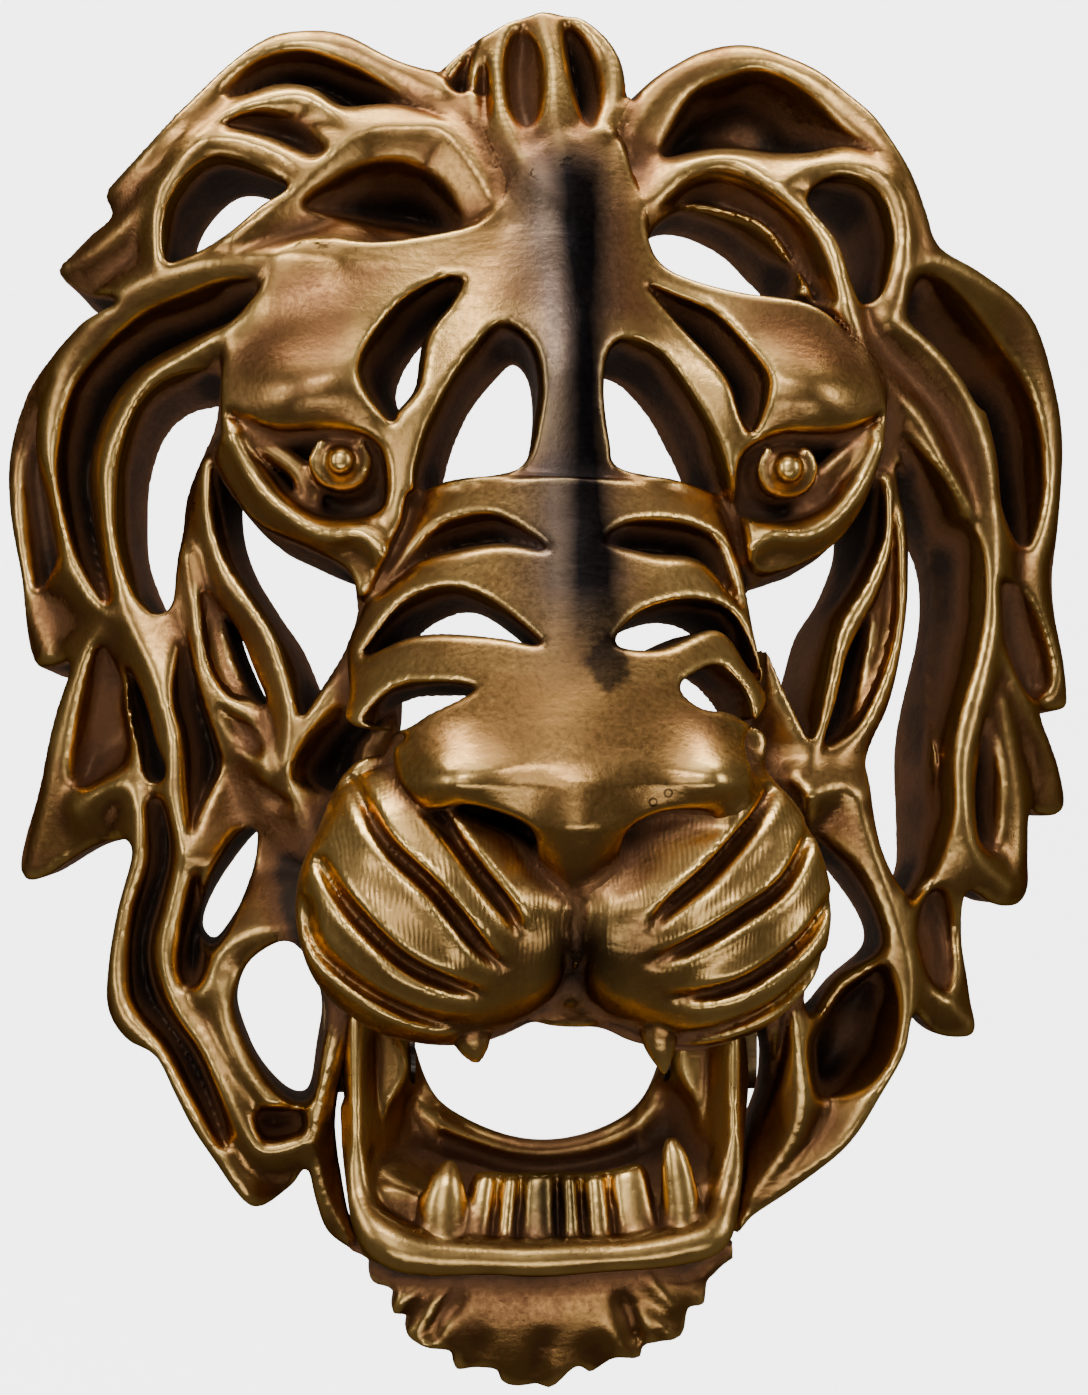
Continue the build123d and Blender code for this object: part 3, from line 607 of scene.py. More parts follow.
def face():
    field = Field((-72, 70), (20, 84), (-8, 93))
    x, z = field.plan()
    base = dome(70, x, z)
    front = base + 4.5 * bump(x - 1, 13) * ease(z, 6, 45) * ease(-z, -95, -70)
    for (cx, cz), lean in (((-52, 40), 0.25), ((51, 40), -0.25)):
        along, across = (x - cx) + lean * (z - cz), (z - cz) - lean * (x - cx)
        front = front + 7.5 * bump(along, 17) * bump(across + 4, 9.5)
    for lid in LIDS:
        where, away, *_ = path_distance(lid, field.x, field.z, 12)
        front[where] += 3.5 * bump(away, 2.4)
    outline = [(-7, 83), (-13, 72), (-32, 67), (-51, 66), (-59, 57), (-65, 49), (-67, 39), (-67, 29),
        (-68, 24), (-65, 17), (-59, 10), (-43, 2), (-39, -4), (-32, 10), (-29, 17), (-13, 18), (4, 19),
        (24, 18), (35, 15), (38, 1), (53, 5), (62, 16), (66, 32), (63, 42), (52, 54), (36, 57), (21, 62),
        (17, 74), (13, 89), (4, 88)]
    field.wall(outline, front, base - WALL_DEPTH)
    for draft, hole in (
            (0.10, [(-12, 50), (-6, 46), (-4, 38), (-5, 30), (-7, 23), (-11, 20), (-21, 18), (-29, 17),
                (-28, 26), (-24, 35), (-18, 44)]),
            (0.10, [(13, 47), (9, 44), (8, 36), (9, 26), (11, 21), (24, 18), (34, 12), (32, 24), (27, 34),
                (20, 44)]),
            (0.15, [(-19, 59), (-24, 59), (-32, 54), (-39, 45), (-40, 38), (-34, 30), (-32, 32), (-28, 37),
                (-26, 47), (-21, 54)]),
            (0.28, [(17, 58), (24, 56), (32, 52), (40, 42), (41, 36), (38, 28), (35, 31), (32, 39),
                (25, 48)])):
        field.hole(hole, draft=draft)
    for (ex, ez), socket, corner in zip(EYES, SOCKETS, CORNERS):
        at = np.argmin(abs(field.x - ex)), np.argmin(abs(field.z - ez))
        depth = float(base[at])
        field.pocket(socket, 9, edge=1.4, draft=0.3)
        field.tube([(px, depth - 6.5, pz, 2.2) for px, pz in corner], 2.5)
        field.ball((ex, depth - 7.0, ez), (6.6, 7.4, 6.4), 1.5)
        field.ball((ex, depth + 0.3, ez), (2.7, 2.0, 2.9), 0.7)
        turns = np.linspace(-math.pi * 1.25, math.pi * 0.25, 9)
        field.tube([
            (ex + 5.2 * math.cos(a), depth - 2.0 + math.sin(a), ez + 5.0 * math.sin(a), 1.0)
            for a in turns], 0.8)
    wavy(field, 0.12)
    return field


# ---------------------------------------------------------------- cheeks
def cheek_left():
    field = Field((-79, -32), (20, 72), (-60, 31))
    x, z = field.plan()
    base = dome(CHEEK_APEX, x, z)
    ridges = [
        (4, .8, .8, [(-70, 23), (-69, 10), (-66, 0), (-59, -9), (-55, -19), (-53, -28), (-54, -37)]),
        (3.5, .8, .8, [(-74, 4), (-72, -8), (-69, -21), (-62, -31), (-57, -39)]),
        (3.5, .8, .8, [(-39, 1), (-40, -11), (-44, -21), (-50, -30), (-53, -40), (-51, -54)]),
    ]
    front = comb(field, base, 4, ridges)
    outline = [(-68, 28), (-73, 20), (-75, 8), (-76, -4), (-73, -14), (-70, -25), (-66, -35), (-62, -45),
        (-54, -56), (-45, -58), (-42, -40), (-37, -29), (-37, -9), (-35, 3), (-41, 11), (-59, 19)]
    holes = (
        [(-69, 23), (-65, 17), (-60, 11), (-51, 6), (-42, 2), (-41, -3), (-42, -10), (-46, -19), (-51, -28),
            (-53, -21), (-56, -12), (-61, -4), (-66, 4), (-69, 14)],
        [(-71, -3), (-67, -6), (-64, -10), (-61, -17), (-58, -25), (-61, -25), (-66, -23), (-70, -16)])
    pockets = (
        (8, [(-67, -26), (-62, -28), (-59, -32), (-59, -36), (-63, -34), (-66, -30)]),
        (14, [(-41, -25), (-38, -27), (-41, -32), (-45, -42), (-51, -42), (-53, -38), (-49, -31)]),
        (8, [(-61, -40), (-58, -42), (-54, -45), (-58, -45)]))
    return carved(field, outline, front, base - WALL_DEPTH, holes=holes, pockets=pockets)


def cheek_right():
    field = Field((34, 76), (20, 72), (-58, 31))
    x, z = field.plan()
    base = dome(CHEEK_APEX, x, z)
    ridges = [
        (4, .8, .8, [(67, 20), (68, 8), (64, -2), (58, -12), (55, -23), (52, -34), (48, -40)]),
        (3.5, .8, .8, [(70, 12), (71, -4), (67, -21), (61, -32), (51, -40)]),
        (3.5, .8, .8, [(39, 3), (42, -11), (45, -23), (50, -34), (52, -44)]),
    ]
    front = comb(field, base, 4, ridges)
    outline = [(68, 28), (71, 16), (72, 4), (72, -8), (69, -23), (64, -33), (59, -38), (50, -42), (54, -54),
        (48, -54), (42, -36), (42, -15), (39, 3), (38, 7), (54, 11)]
    holes = (
        [(66, 21), (63, 16), (56, 6), (42, 2), (40, -3), (42, -13), (46, -23), (50, -32), (52, -30),
            (54, -21), (57, -9), (63, 0), (67, 10)],
        [(69, 16), (70, 4), (69, -12), (64, -25), (59, -32), (53, -35), (56, -25), (59, -15), (65, -4),
            (68, 6)])
    return carved(field, outline, front, base - WALL_DEPTH, holes=holes)


# ---------------------------------------------------------------- muzzle
def bridge_height(z):
    """How far the middle of the nose stands out, from the brow down to the lip."""
    return np.interp(z, (-70, -64, -60, -52, -48, -40, -30, -20, -10, 0, 10, 18, 26, 34),
        (93, 98, 101.5, 106, 107.5, 106.5, 101, 95, 89, 83, 77, 72.5, 70, 66))


def bridge():
    field = Field((-46, 43), (44, 112), (-90, 24))
    x, z = field.plan()
    middle = bridge_height(z)
    # The flat top of the nose widens downward to a brow over the nostrils, then turns under.
    half = np.interp(z, (-50, -40, -28, -10, 20), (31, 30, 22, 14, 11))
    facet = ((x - 1) / half) ** 2
    front = middle - (x - 1) ** 2 / 130 - 3.6 * facet / (1 + 0.6 * facet)
    front = front - np.maximum(abs(x - 1) - 18, 0) ** 2 / 75
    crease = -37.5 + 0.9 * np.cos(x / 11)
    turned = 0.50 * np.maximum(crease - z, 0) * ease(abs(x - 1), 40, 6)
    front = front - turned * (1 - 0.66 * bump(x, 9))
    for wx in (-25, 27):
        front = front + 5.5 * bump(np.hypot(x - wx, (z + 38.5) * 1.25), 8.0)
    root = [(-34, -30), (-10, -28), (12, -28), (38, -30), (34, -46), (20, -62), (11, -82), (3, -87),
        (-5, -87), (-13, -82), (-22, -62), (-33, -46)]
    field.wall(root, np.clip(middle - 14 - x ** 2 / 90, 74, 88), np.full_like(front, 58))
    outline = [(-29, 17), (-13, 19), (4, 19), (25, 18), (35, 16), (36, 5), (37, -9), (39, -21), (38, -26),
        (33, -32), (33, -40), (30, -45), (22, -45), (14, -46), (9, -49), (7.5, -55), (5, -60), (0.5, -65.5),
        (-4, -60), (-7.5, -55), (-9, -49), (-14, -46), (-21, -44), (-28, -45), (-33, -40), (-34, -34),
        (-32, -31), (-42, -29), (-42, -23), (-42, -13), (-38, -3), (-34, 8)]
    field.wall(outline, front, np.maximum(front - WALL_DEPTH, 46))
    for draft, hole in (
            (0.30, [(-36, -4), (-32, 2), (-27, 8), (-22, 11), (-14, 12), (-7, 8), (-4, 4), (-12, 5),
                (-21, 4), (-28, 2)]),
            (0.30, [(7, 6), (11, 10), (18, 11), (26, 10), (32, 6), (35, -6), (32, -4), (26, 2), (17, 3)]),
            (0.08, [(-39, -16), (-37, -12), (-32, -6), (-26, -3), (-20, -3), (-13, -7), (-6, -14),
                (-13, -13), (-23, -12), (-31, -13)]),
            (0.08, [(8, -14), (11, -9), (17, -6), (26, -5), (34, -9), (39, -23), (35, -18), (29, -11),
                (17, -15)]),
            (0.02, [(-39, -29), (-38, -26), (-33, -22), (-25, -21), (-19, -22), (-21, -24), (-27, -27),
                (-32, -30)]),
            (0.0, [(20, -22), (24, -19), (29, -18), (34, -23), (35, -29), (30, -27), (24, -26)])):
        field.hole(hole, draft=draft)
    for nx in (-19, 20.5):
        field.ball((nx, 95, -51), (10, 14, 6.0), 1.5, cut=True)
    wavy(field, 0.12)
    return field


PAD_X = 25.5
PAD_Z = -63.5
PAD_DEPTH = 29.0
PAD_BASE = 72.0
PAD_REAR = 58.0
PAD_REACH = 28.5              # radius of the pad, and of the hollow in it
PAD_HOLLOW = 21.5
GROOVES_LEFT = (
    [(-33, -36), (-27, -45), (-20, -55), (-13, -64), (-10, -70)],
    [(-41, -41), (-36, -51), (-27, -60), (-18, -71), (-12, -76)],
    [(-48, -55), (-43, -63), (-33, -73), (-23, -78), (-14, -81)],
    [(-51, -63), (-48, -72), (-38, -80), (-27, -85), (-16, -86)])
GROOVES_RIGHT = (
    [(38, -42), (31, -50), (24, -57), (17, -63), (12, -69)],
    [(46, -49), (39, -59), (30, -65), (20, -71), (11, -75)],
    [(49, -63), (43, -70), (33, -77), (24, -80), (14, -81)],
    [(48, -74), (41, -81), (32, -86), (22, -89), (14, -88)])


def groove_profile(below):
    """A thin cut with a rib under it that fades downward, and a slight lip above."""
    rib = 2.6 * ease(below, 0, 2.4) * np.exp(-np.maximum(below - 2.4, 0) / 5.5)
    return rib + 0.8 * bump(below + 2.6, 2.0) - 4.6 * bump(below, 1.25)


def whisker_pad(outline, grooves, centre):
    across = [point[0] for point in outline]
    field = Field((min(across) - 3, max(across) + 3), (54, 106), (-94, -33))
    x, z = field.plan()
    reach = np.clip(np.hypot((x - centre) / PAD_REACH, (z - PAD_Z) / PAD_REACH), 0, 0.999)
    front = PAD_BASE + PAD_DEPTH * np.sqrt(1 - reach ** 2)
    lower = 1 if centre > 0 else -1
    for path in grooves:
        where, away, side, along = path_distance(path, field.x, field.z, 14)
        fade = ease(along, -0.3, 0.2) * ease(-along, -1.0, -0.62)
        front[where] += groove_profile(away * side * -lower) * fade
    front = front + 9.0 * bump(x - 1, 9.5) * ease(z, -92, -80) * ease(-z, 52, 64)
    field.wall(outline, front, np.full_like(front, PAD_REAR), edge=2.0)
    field.ball((centre, PAD_BASE, PAD_Z), (PAD_HOLLOW, 23, PAD_HOLLOW), 1.0, cut=True)
    x3, h3, z3 = field.space()
    bore = soft_max(np.hypot(x3 - centre, z3 - PAD_Z) - PAD_HOLLOW, h3 - PAD_BASE, 1.0)
    field.value = soft_max(field.value, -bore, 1.0).astype(np.float32)
    wavy(field, 0.10)
    return field


def pad_left():
    outline = [(-43, -39), (-48, -49), (-52, -59), (-52, -70), (-48, -80), (-38, -88), (-25, -91.5),
        (-16, -91), (-9, -88), (-1, -83), (6, -76), (6, -64), (-2, -58), (-10, -51), (-25, -44), (-31, -37),
        (-37, -35)]
    return whisker_pad(outline, GROOVES_LEFT, -PAD_X)


def pad_right():
    outline = [(33, -36), (41, -41), (47, -51), (50, -62), (49, -74), (44, -83), (36, -90), (25, -93),
        (14, -91.5), (7, -88), (0, -83), (-5, -76), (-5, -64), (4, -58), (12, -49), (29, -41)]
    return whisker_pad(outline, GROOVES_RIGHT, PAD_X)


def fangs():
    field = Field((-26, 23), (74, 94), (-99, -78))
    for fx, tip in ((-19, -94.5), (17, -97)):
        field.tube([(fx, 82, -84, 4.0), (fx, 83, -89, 3.6), (fx + 1.0, 83, tip + 0.9, 0.7)])
    return field


# ---------------------------------------------------------------- jaw
JAW_X = -3.0
INCISOR_EDGES = (-18.0, -12.2, -7.8, -0.7, 3.8, 9.2, 17.4)
CANINES = ((-23.5, -115, 1.2, 4.9), (23.6, -111, -1.8, 3.9))    # place, tip, lean and thickness


def jaw():
    field = Field((-46, 42), (30, 74), (-140, -84))
    x, z = field.plan()
    rim = [(-29, -94), (-24, -106), (-12, -112), (-2, -114), (10, -112), (18, -107), (24, -97)]
    where, away, *_ = path_distance(rim, field.x, field.z, 60)
    slope = np.full_like(x + z, 20.0)
    slope[where] = away
    front = 41 + 2.5 * bump(slope - 2.5, 2.2) + 20 * ease(slope, 4, 17) * ease(-z, 104, 122)
    outer = abs(x - JAW_X)
    arms = 40 + 15 * ease(outer, 23, 36) + 5.5 * bump(outer - 37.5, 2.4) + 4 * ease(-z, 100, 125)
    boss = 12 * bump(np.hypot(outer - 31, z + 97), 6.5)
    arms = np.maximum(arms, np.minimum(arms + boss, 53))
    front = np.minimum(soft_max(front, np.where(outer > 20, arms, 0), 4), 62)
    outline = [(-42, -86), (-43, -96), (-42, -108), (-41, -120), (-40, -128), (-37, -135), (-20, -136),
        (0, -136), (20, -136), (31, -135), (34, -128), (36, -118), (38, -106), (38, -97), (36, -90),
        (24, -89), (22, -98), (18, -107), (10, -112), (-2, -114), (-12, -112), (-23, -106), (-28, -94),
        (-29.5, -86)]
    field.wall(outline, front, np.full_like(front, 34))
    field.tube([(-41.5, 55, -106, 2.0), (-40.5, 59, -117, 2.3), (-38.5, 62.5, -125.5, 3.2),
        (-33, 64.5, -131, 4.8), (-25, 65, -133, 4.4), (-14, 65.5, -133.6, 3.8), (-3, 65.5, -134, 3.5),
        (10, 65.5, -133.4, 3.6), (22, 65, -132.2, 4.0), (29.5, 64, -129.8, 3.9), (32.5, 61, -123, 2.7),
        (34, 57, -112, 2.0)], 2.5)
    wavy(field, 0.2)
    return field


def teeth():
    field = Field((-34, 30), (50, 74), (-134, -106))
    x, z = field.plan()
    flare = 1 + 0.012 * (-z - 118)
    front = 61.5 - 0.32 * (z + 118) + 0 * x
    for edge in INCISOR_EDGES:
        front = front - 2.6 * bump(x / flare - edge, 0.75)
    for left, right in zip(INCISOR_EDGES, INCISOR_EDGES[1:]):
        front = front + 0.9 * bump(x / flare - (left + right) / 2, (right - left) * 0.36)
    block = [(-19, -133), (-18.6, -125), (-17.6, -119.6), (-15, -118), (-9, -118.4), (-2, -118), (6, -118.2),
        (12, -117.4), (16, -116.8), (17.6, -119), (18.6, -125), (20, -133)]
    field.wall(block, front, np.full_like(front, 54), edge=0.9)
    for tx, top, lean, thick in CANINES:
        field.tube([
            (tx, 62, -133, thick + 0.6), (tx, 62.5, -125, thick),
            (tx + lean * 0.5, 63, top - 5.5, thick * 0.75), (tx + lean, 63, top - 1.4, 1.5)], 1.5)
    wavy(field, 0.15)
    return field


def chin():
    field = Field((-42, 36), (36, 68), (-164, -130))
    x, z = field.plan()
    outline = [(-37, -133), (-37.5, -136), (-37.2, -140.3), (-32.9, -142), (-33, -146.5), (-30, -147.3),
        (-30.2, -151), (-26, -153.6), (-21.3, -154.6), (-20.3, -158.4), (-16, -158), (-12.2, -158.4),
        (-11, -161), (-8, -162), (-4, -161.6), (-1, -162.3), (3.8, -157.8), (7, -159.4), (12, -156.4),
        (16.5, -156.6), (17.3, -153.8), (21, -153), (25.2, -152), (26.4, -146.4), (29.5, -146), (30.4, -141),
        (32.2, -139.2), (32.6, -133)]
    front = 59 - ((z + 136) / 7) ** 2 * 0.5 - ((x - JAW_X) / 34) ** 2 * 5
    rng = np.random.default_rng(7)
    for _ in range(30):
        turn = rng.uniform(math.pi * 0.98, math.pi * 2.02)
        out = rng.uniform(0.70, 1.02)
        cx = JAW_X + 33 * math.cos(turn) * out
        cz = -134 + 26 * math.sin(turn) * out
        spread = (cx - JAW_X) * 0.22
        tuft = [(cx - spread, cz + 6), (cx, cz), (cx + spread * 0.6 + rng.uniform(-1.5, 1.5), cz - 5)]
        where, away, _, along = path_distance(tuft, field.x, field.z, 9)
        front[where] += rng.uniform(-1.9, 1.9) * bump(away, rng.uniform(1.6, 2.8)) * ease(along, 0, 0.5)
    field.wall(outline, front, np.full_like(front, 42))
    return field


# ---------------------------------------------------------------- materials
STRIPE_X = 0.0045             # the dark streak of patina down the forehead and the nose
STRIPE_LOW = (-0.024, -0.002)
STRIPE_HIGH = (0.100, 0.084)
STRIPE_DEPTH = (-0.044, -0.054)
BLOTCH = (0.006, -0.017)      # a dark spot on the bridge of the nose
PITS = ((0.0136, -0.0435), (0.0164, -0.0418))


class Shader:
    """A node material being written: each call adds a node and gives back its output."""

    def __init__(self, name):
        self.material = bpy.data.materials.new(name)
        self.material.use_nodes = True
        self.nodes = self.material.node_tree.nodes
        self.links = self.material.node_tree.links
        self.surface = self.nodes["Principled BSDF"]
        self.place = self.add("ShaderNodeTexCoord").outputs["Object"]

    def add(self, kind, inputs=(), **settings):
        node = self.nodes.new(kind)
        for key, value in settings.items():
            setattr(node, key, value)
        for socket, value in dict(inputs).items():
            self.connect(node.inputs[socket], value)
        return node

    def connect(self, socket, value):
        """Link another node's output to the socket, or set the socket's own value."""
        if hasattr(value, "is_output"):
            self.links.new(value, socket)
        else:
            socket.default_value = value

    def attribute(self, name):
        return self.add("ShaderNodeAttribute", attribute_name=name).outputs["Fac"]

    def noise(self, scale, detail=4.0, rough=0.55, distortion=0.0, stretch=None):
        place = self.place
        if stretch:
            place = self.add("ShaderNodeMapping", {"Vector": place, "Scale": stretch}).outputs[0]
        node = self.add("ShaderNodeTexNoise", {
            "Vector": place, "Scale": scale, "Detail": detail, "Roughness": rough,
            "Distortion": distortion})
        return node.outputs["Fac"]

    def math(self, operation, a, b=0.0, clamp=False):
        return self.add("ShaderNodeMath", {0: a, 1: b}, operation=operation, use_clamp=clamp).outputs[0]

    def remap(self, value, low, high, to_low=0.0, to_high=1.0):
        return self.add("ShaderNodeMapRange", {
            "Value": value, "From Min": low, "From Max": high, "To Min": to_low,
            "To Max": to_high}).outputs[0]

    def mix(self, factor, a, b, blend="MIX"):
        node = self.add("ShaderNodeMix", data_type="RGBA", blend_type=blend)
        for number, value in ((0, factor), (6, a), (7, b)):
            self.connect(node.inputs[number], value)
        return node.outputs[2]

    def bump(self, height, strength, distance):
        node = self.add("ShaderNodeBump", {"Height": height, "Strength": strength, "Distance": distance})
        self.links.new(node.outputs[0], self.surface.inputs["Normal"])

    def away(self, axes, place, flatten):
        """Distance in the x, z plane from a place, with the height scaled by flatten."""
        dx = self.math("SUBTRACT", axes["X"], place[0])
        dz = self.math("MULTIPLY", self.math("SUBTRACT", axes["Z"], place[1]), flatten)
        square = self.math("ADD", self.math("MULTIPLY", dx, dx), self.math("MULTIPLY", dz, dz))
        return self.math("SQRT", square)

    def feed(self, socket, value):
        self.connect(self.surface.inputs[socket], value)


# Besides their own tone, GOLD paints a highlight on edges and ridges, and COPPER, UMBER and BLACK paint
# shade in the hollows.
GOLD = (0.92, 0.60, 0.20, 1)
BRASS = (0.37, 0.192, 0.062, 1)
UMBER = (0.135, 0.060, 0.028, 1)
COPPER = (0.26, 0.105, 0.052, 1)
BLACK = (0.032, 0.021, 0.016, 1)
SLATE = (0.090, 0.075, 0.072, 1)
INK = (0.013, 0.011, 0.012, 1)
GRAZING = (0.48, 0.34, 0.18, 1)      # tint of a metal's reflection at a shallow angle


def streak(s, colour, cloud):
    """Bluish black patina: a streak down the middle, a blotch and two small pits on the nose."""
    axes = s.add("ShaderNodeSeparateXYZ", {"Vector": s.place}).outputs
    reach = s.math("MULTIPLY", s.remap(axes["Z"], *STRIPE_LOW), s.remap(axes["Z"], *STRIPE_HIGH))
    reach = s.math("MULTIPLY", reach, s.remap(axes["Y"], *STRIPE_DEPTH))
    wander = s.remap(cloud, 0.3, 0.7, -0.0025, 0.0025)
    side = s.math("ADD", s.math("ABSOLUTE", s.math("SUBTRACT", axes["X"], STRIPE_X - 0.0035)), wander)
    core = s.math("ADD", s.math("ABSOLUTE", s.math("SUBTRACT", axes["X"], STRIPE_X)), wander)
    colour = s.mix(s.math("MULTIPLY", s.remap(side, 0.014, 0.004, 0, 0.8), reach), colour, SLATE)
    colour = s.mix(s.math("MULTIPLY", s.remap(core, 0.0065, 0.002), reach), colour, INK)
    spot = s.math("ADD", s.away(axes, BLOTCH, 0.75), s.remap(s.noise(260), 0.3, 0.7, -0.0011, 0.0011))
    colour = s.mix(s.remap(spot, 0.0048, 0.0030, 0, 0.8), colour, INK)
    for pit in PITS:
        ring = s.math("ABSOLUTE", s.math("SUBTRACT", s.away(axes, pit, 1.0), 0.0007))
        colour = s.mix(s.remap(ring, 0.0003, 0.0001, 0, 0.8), colour, INK)
    return colour


def bronze(name, grime=0.0, rub=0.0, stripe=False, fine=0.0, smudge=None):
    """Cast bronze: dark patina and painted shade in the hollows, warm brass on the faces, rubbed gold and a
    painted highlight on the edges and ridges.
    """
    s = Shader(name)
    edge, cavity, relief = (s.attribute(label) for label in ("edge", "cavity", "relief"))
    cloud = s.noise(17, 6, 0.6)
    patch = s.noise(48, 5, 0.65)
    grain = s.noise(900, 3, 0.6)
    brushed = s.noise(420, 2, 0.5, stretch=(0.25, 1, 1))
    mottle = s.math("ADD", s.remap(cloud, 0.3, 0.7, -0.16 + grime, 0.22 + grime),
                    s.remap(patch, 0.35, 0.7, -0.10, 0.16))
    mottle = s.math("ADD", mottle, s.remap(grain, 0.3, 0.7, -0.05, 0.05))
    # Painted shade: the further a surface sinks below the local front and the more it is closed in, the
    # darker it is painted; partly the patina of the hollows, partly shade.
    depth = s.math("ADD", s.remap(relief, 0.0, -0.75, 0.0, 0.85), s.remap(cavity, 0.44, 0.62, 0, 0.5))
    dark = s.math("ADD", depth, mottle)
    # Painted highlight: sharp edges and ridges that stand above the local front turn gold, partly rubbed
    # wear and partly the sheen that light gives them.
    lines = s.remap(edge, 0.46, 0.33)
    wear_and_highlight = s.math("ADD", lines, s.remap(relief, 0.05, 0.5, 0, 0.5), clamp=True)
    wear_and_highlight = s.math("ADD", s.math("MULTIPLY", wear_and_highlight, s.remap(cloud, 0.3, 0.6, 0.6, 1.0)), rub, clamp=True)
    colour = s.mix(wear_and_highlight, BRASS, GOLD)
    dark = s.math("SUBTRACT", dark, s.math("MULTIPLY", lines, 0.35))
    tint = s.math("MULTIPLY", s.remap(dark, 0.1, 0.35), s.remap(dark, 0.8, 0.45), clamp=True)
    colour = s.mix(s.math("MULTIPLY", tint, 0.55), colour, COPPER)
    colour = s.mix(s.remap(dark, 0.15, 0.75), colour, UMBER)
    colour = s.mix(s.remap(dark, 0.85, 1.35), colour, BLACK)
    if stripe:
        colour = streak(s, colour, cloud)
    if smudge:
        place, size = smudge
        axes = s.add("ShaderNodeSeparateXYZ", {"Vector": s.place}).outputs
        far = s.math("ADD", s.away(axes, place, 0.9), s.remap(cloud, 0.3, 0.7, -0.003, 0.003))
        colour = s.mix(s.remap(far, size, size * 0.3, 0, 0.8), colour, INK)
    s.feed("Base Color", colour)
    s.feed("Metallic", s.remap(dark, 0.4, 0.9, 1.0, 0.5))
    s.feed("Specular IOR Level", 0.35)
    s.feed("Specular Tint", GRAZING)
    rough = s.math("ADD", s.remap(grain, 0.3, 0.7, -0.04, 0.05), s.remap(dark, 0.0, 1.0, 0.31, 0.50))
    s.feed("Roughness", rough)
    height = s.math("ADD", s.math("MULTIPLY", grain, 0.35), s.math("MULTIPLY", brushed, 0.5))
    pitted = s.math("MULTIPLY", s.noise(160, 3, 0.6), s.remap(dark, 0.3, 1.0, 0.4, 2.0))
    height = s.math("ADD", height, pitted)
    if fine:
        prints = s.add("ShaderNodeTexWave", {
            "Vector": s.place, "Scale": 330.0, "Distortion": 9.0, "Detail": 1.0, "Detail Scale": 0.35})
        height = s.math("ADD", height, s.math("MULTIPLY", prints.outputs["Fac"], fine))
    s.bump(height, 0.35, 0.0004)
    return s.material


def machined(name, colour, shade, rough):
    """Turned metal: fine rings of tool marks with a little tarnish."""
    s = Shader(name)
    tarnish = s.remap(s.noise(60, 5, 0.6), 0.35, 0.65)
    s.feed("Base Color", s.mix(tarnish, colour, shade))
    s.feed("Metallic", 1.0)
    s.feed("Roughness", s.remap(s.noise(700, 2, 0.5), 0.3, 0.7, rough - 0.06, rough + 0.08))
    wave = s.add("ShaderNodeTexWave", {"Vector": s.place, "Scale": 260.0, "Distortion": 1.5, "Detail": 2.0},
                 wave_type="RINGS", rings_direction="Y")
    s.bump(wave.outputs["Fac"], 0.15, 0.0002)
    return s.material


def raw(name):
    """The unpolished back of a casting."""
    s = Shader(name)
    cloud = s.noise(45, 6, 0.65)
    s.feed("Base Color", s.mix(s.remap(cloud, 0.35, 0.65), (0.20, 0.12, 0.06, 1), (0.42, 0.28, 0.13, 1)))
    s.feed("Metallic", 1.0)
    s.feed("Roughness", s.remap(s.noise(300, 3, 0.6), 0.3, 0.7, 0.42, 0.6))
    s.bump(s.noise(350, 4, 0.6), 0.4, 0.0006)
    return s.material


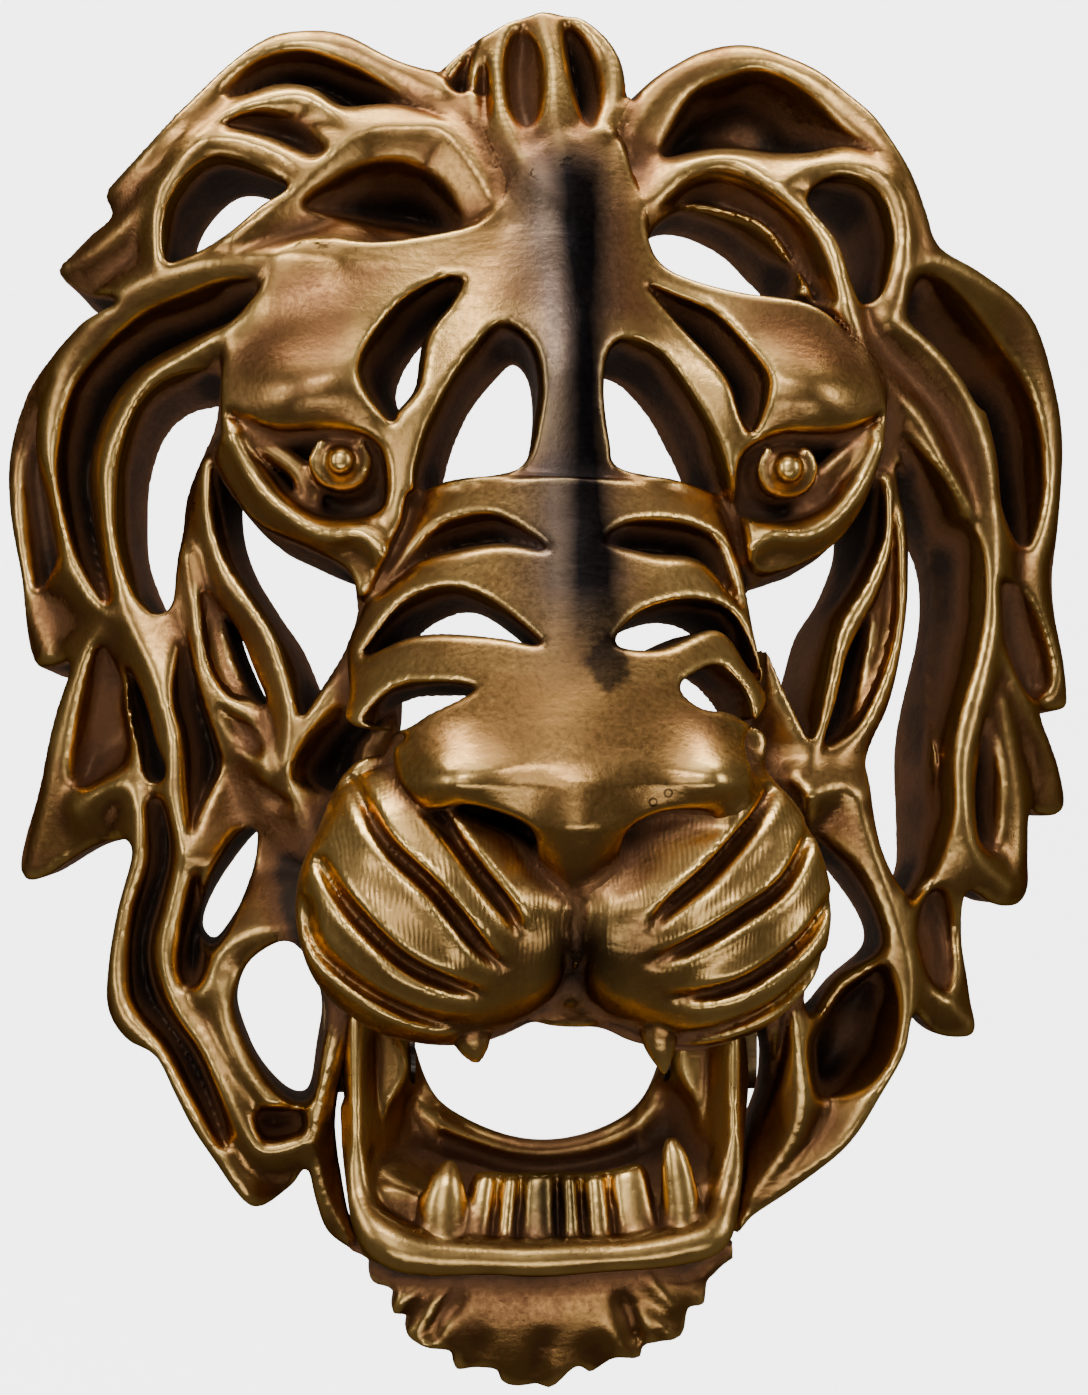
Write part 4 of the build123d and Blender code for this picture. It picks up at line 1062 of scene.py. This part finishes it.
# ---------------------------------------------------------------- build
def build():
    antique = bronze("antique_bronze", grime=0.10)
    streaked = bronze("antique_bronze_streaked", grime=0.06, stripe=True)
    muzzle = bronze("antique_bronze_muzzle", grime=-0.08, rub=0.2, fine=0.12,
                    smudge=((0.002, -0.073), 0.013))
    tooth = bronze("antique_bronze_teeth", rub=0.25, smudge=((-0.001, -0.124), 0.012))
    inner = bronze("antique_bronze_mouth", grime=-0.28, rub=0.1)
    head = (
        (face(), 3.0, "face_cast", ("face_casting", "eyes"), streaked),
        (mane_left(), 3.0, "mane_left_cast", (
            "mane_arch_left", "mane_arch_inner_left", "mane_loop_left", "forelock_left",
            "temple_left", "mane_outer_left", "mane_inner_left", "mane_tip_high_left",
            "mane_edge_left", "mane_tip_mid_left", "mane_fork_left", "cheek_hook_left",
            "throat_outer_left", "throat_left"), antique),
        (mane_right(), 3.0, "mane_right_cast", (
            "mane_arch_right", "mane_loop_right", "forelock_right", "mane_outer_right",
            "mane_inner_right", "mane_tip_mid_right", "mane_tip_low_right",
            "mane_throat_right", "throat_right"), antique),
        (crest(), 4.0, "crest_cast", ("crest",), streaked),
        (cheek_left(), 3.0, "cheek_left_cast", (
            "cheek_strap_left", "cheek_outer_left", "cheek_inner_left"), antique),
        (cheek_right(), 3.0, "cheek_right_cast", (
            "cheek_strap_right", "cheek_outer_right", "cheek_inner_right"), antique),
        (bridge(), 1.5, "nose_cast", ("nose_bridge",), streaked),
        (pad_left(), 1.0, "whisker_pad_left_cast", ("whisker_pad_left",), muzzle),
        (pad_right(), 5.0, "whisker_pad_right_cast", ("whisker_pad_right",), muzzle),
        (fangs(), 1.0, "fangs_cast", ("upper_fangs",), antique))
    cast(head, "head")
    mouth = (
        (jaw(), 2.0, "jaw_cast", ("jaw_arm_left", "jaw_arm_right", "mouth_floor", "lip_bar"), inner),
        (teeth(), 1.0, "teeth_cast", ("lower_teeth",), tooth),
        (chin(), 2.0, "chin_cast", ("chin_tuft",), antique))
    cast(mouth, "jaw")
    brass = machined("worn_brass", (0.70, 0.50, 0.24, 1), (0.42, 0.27, 0.11, 1), 0.34)
    steel = machined("dark_steel", (0.13, 0.11, 0.10, 1), (0.05, 0.045, 0.04, 1), 0.36)
    bush = machined("bearing_bronze", (0.62, 0.40, 0.20, 1), (0.40, 0.24, 0.11, 1), 0.3)
    rough = raw("raw_casting")
    kept = {
        "mounting_posts": rough, "hinge_lugs": rough, "pivot_screws": steel, "pivot_washers": bush,
        "jaw_bushes": bush, "strike_plate": brass, "striker_button": brass}
    for node, material in kept.items():
        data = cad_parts[node].data
        data.materials.clear()
        data.materials.append(material)


# ---------------------------------------------------------------- studio
def backdrop():
    """A pale floor that curves up into a pale wall behind; it glows as painted light, faintly on the floor
    and strongly on the wall.
    """
    profile = [(-2.6, -0.42), (0.15, -0.42)]
    profile += [(0.15 + 0.45 * math.sin(a), 0.03 - 0.45 * math.cos(a)) for a in np.linspace(0.1, 1.571, 12)]
    profile += [(0.60, 2.4)]
    vertices = [(x, y, z) for x in (-3.0, 3.0) for y, z in profile]
    count = len(profile)
    faces = [(i, i + 1, count + i + 1, count + i) for i in range(count - 1)]
    mesh = bpy.data.meshes.new("backdrop")
    mesh.from_pydata(vertices, [], faces)
    mesh.polygons.foreach_set("use_smooth", [True] * len(faces))
    sweep = add_object("backdrop", mesh)
    s = Shader("backdrop_paper")
    s.feed("Base Color", (0.86, 0.86, 0.86, 1))
    s.feed("Roughness", 0.9)
    s.feed("Emission Color", (1, 1, 1, 1))
    depth = s.add("ShaderNodeSeparateXYZ", {"Vector": s.place}).outputs["Y"]
    # Painted light: the sweep glows, faint on the floor and bright on the wall behind.
    s.feed("Emission Strength", s.remap(depth, 0.2, 0.45, 0.3, 3.0))
    mesh.materials.append(s.material)
    sweep.visible_glossy = False


LIGHTS = (      # name, place, what it aims at, size and power
    ("key", (-0.20, -0.95, 0.62), (0, -0.05, 0), (0.5, 0.22), 4.6),
    ("side_right", (0.90, -0.55, 0.25), (0, -0.05, 0), (0.2, 0.6), 2.6),
    ("side_left", (-0.90, -0.55, 0.20), (0, -0.05, 0), (0.2, 0.6), 2.2),
    ("top", (0.0, -0.35, 1.0), (0, -0.05, 0), (0.6, 0.3), 1.6),
    ("low", (0.0, -0.9, -0.60), (0, -0.05, -0.05), (0.9, 0.2), 2.4),
    ("front", (-0.35, -1.3, 0.10), (0, -0.05, 0), (0.5, 0.5), 2.2),
    ("on_backdrop", (0.0, 0.15, 1.3), (0, 0.60, 0.0), (1.6, 0.3), 26))


def soft_light(name, place, aim, size, power):
    data = bpy.data.lights.new(name, "AREA")
    data.shape = "RECTANGLE"
    data.size, data.size_y = size
    data.energy = power
    lamp = add_object(name, data)
    lamp.location = place
    lamp.rotation_euler = (Vector(aim) - Vector(place)).to_track_quat("-Z", "Y").to_euler()


def studio():
    backdrop()
    for row in LIGHTS:
        soft_light(*row)
    world = bpy.data.worlds.new("studio")
    bpy.context.scene.world = world
    world.use_nodes = True
    colour, strength, *_ = world.node_tree.nodes["Background"].inputs
    colour.default_value = (1.0, 0.90, 0.76, 1)
    strength.default_value = 0.10


def camera():
    data = bpy.data.cameras.new("camera")
    data.sensor_fit = "VERTICAL"
    data.sensor_height = 24
    data.lens = 61.07
    data.clip_start = 0.01
    eye = add_object("camera", data)
    eye.location = (-0.061, -0.760, -0.024)
    eye.rotation_euler = (Vector((0, -0.020, -0.024)) - eye.location).to_track_quat("-Z", "Y").to_euler()
    bpy.context.scene.camera = eye


build()
studio()
camera()

bpy.context.view_layer.update()
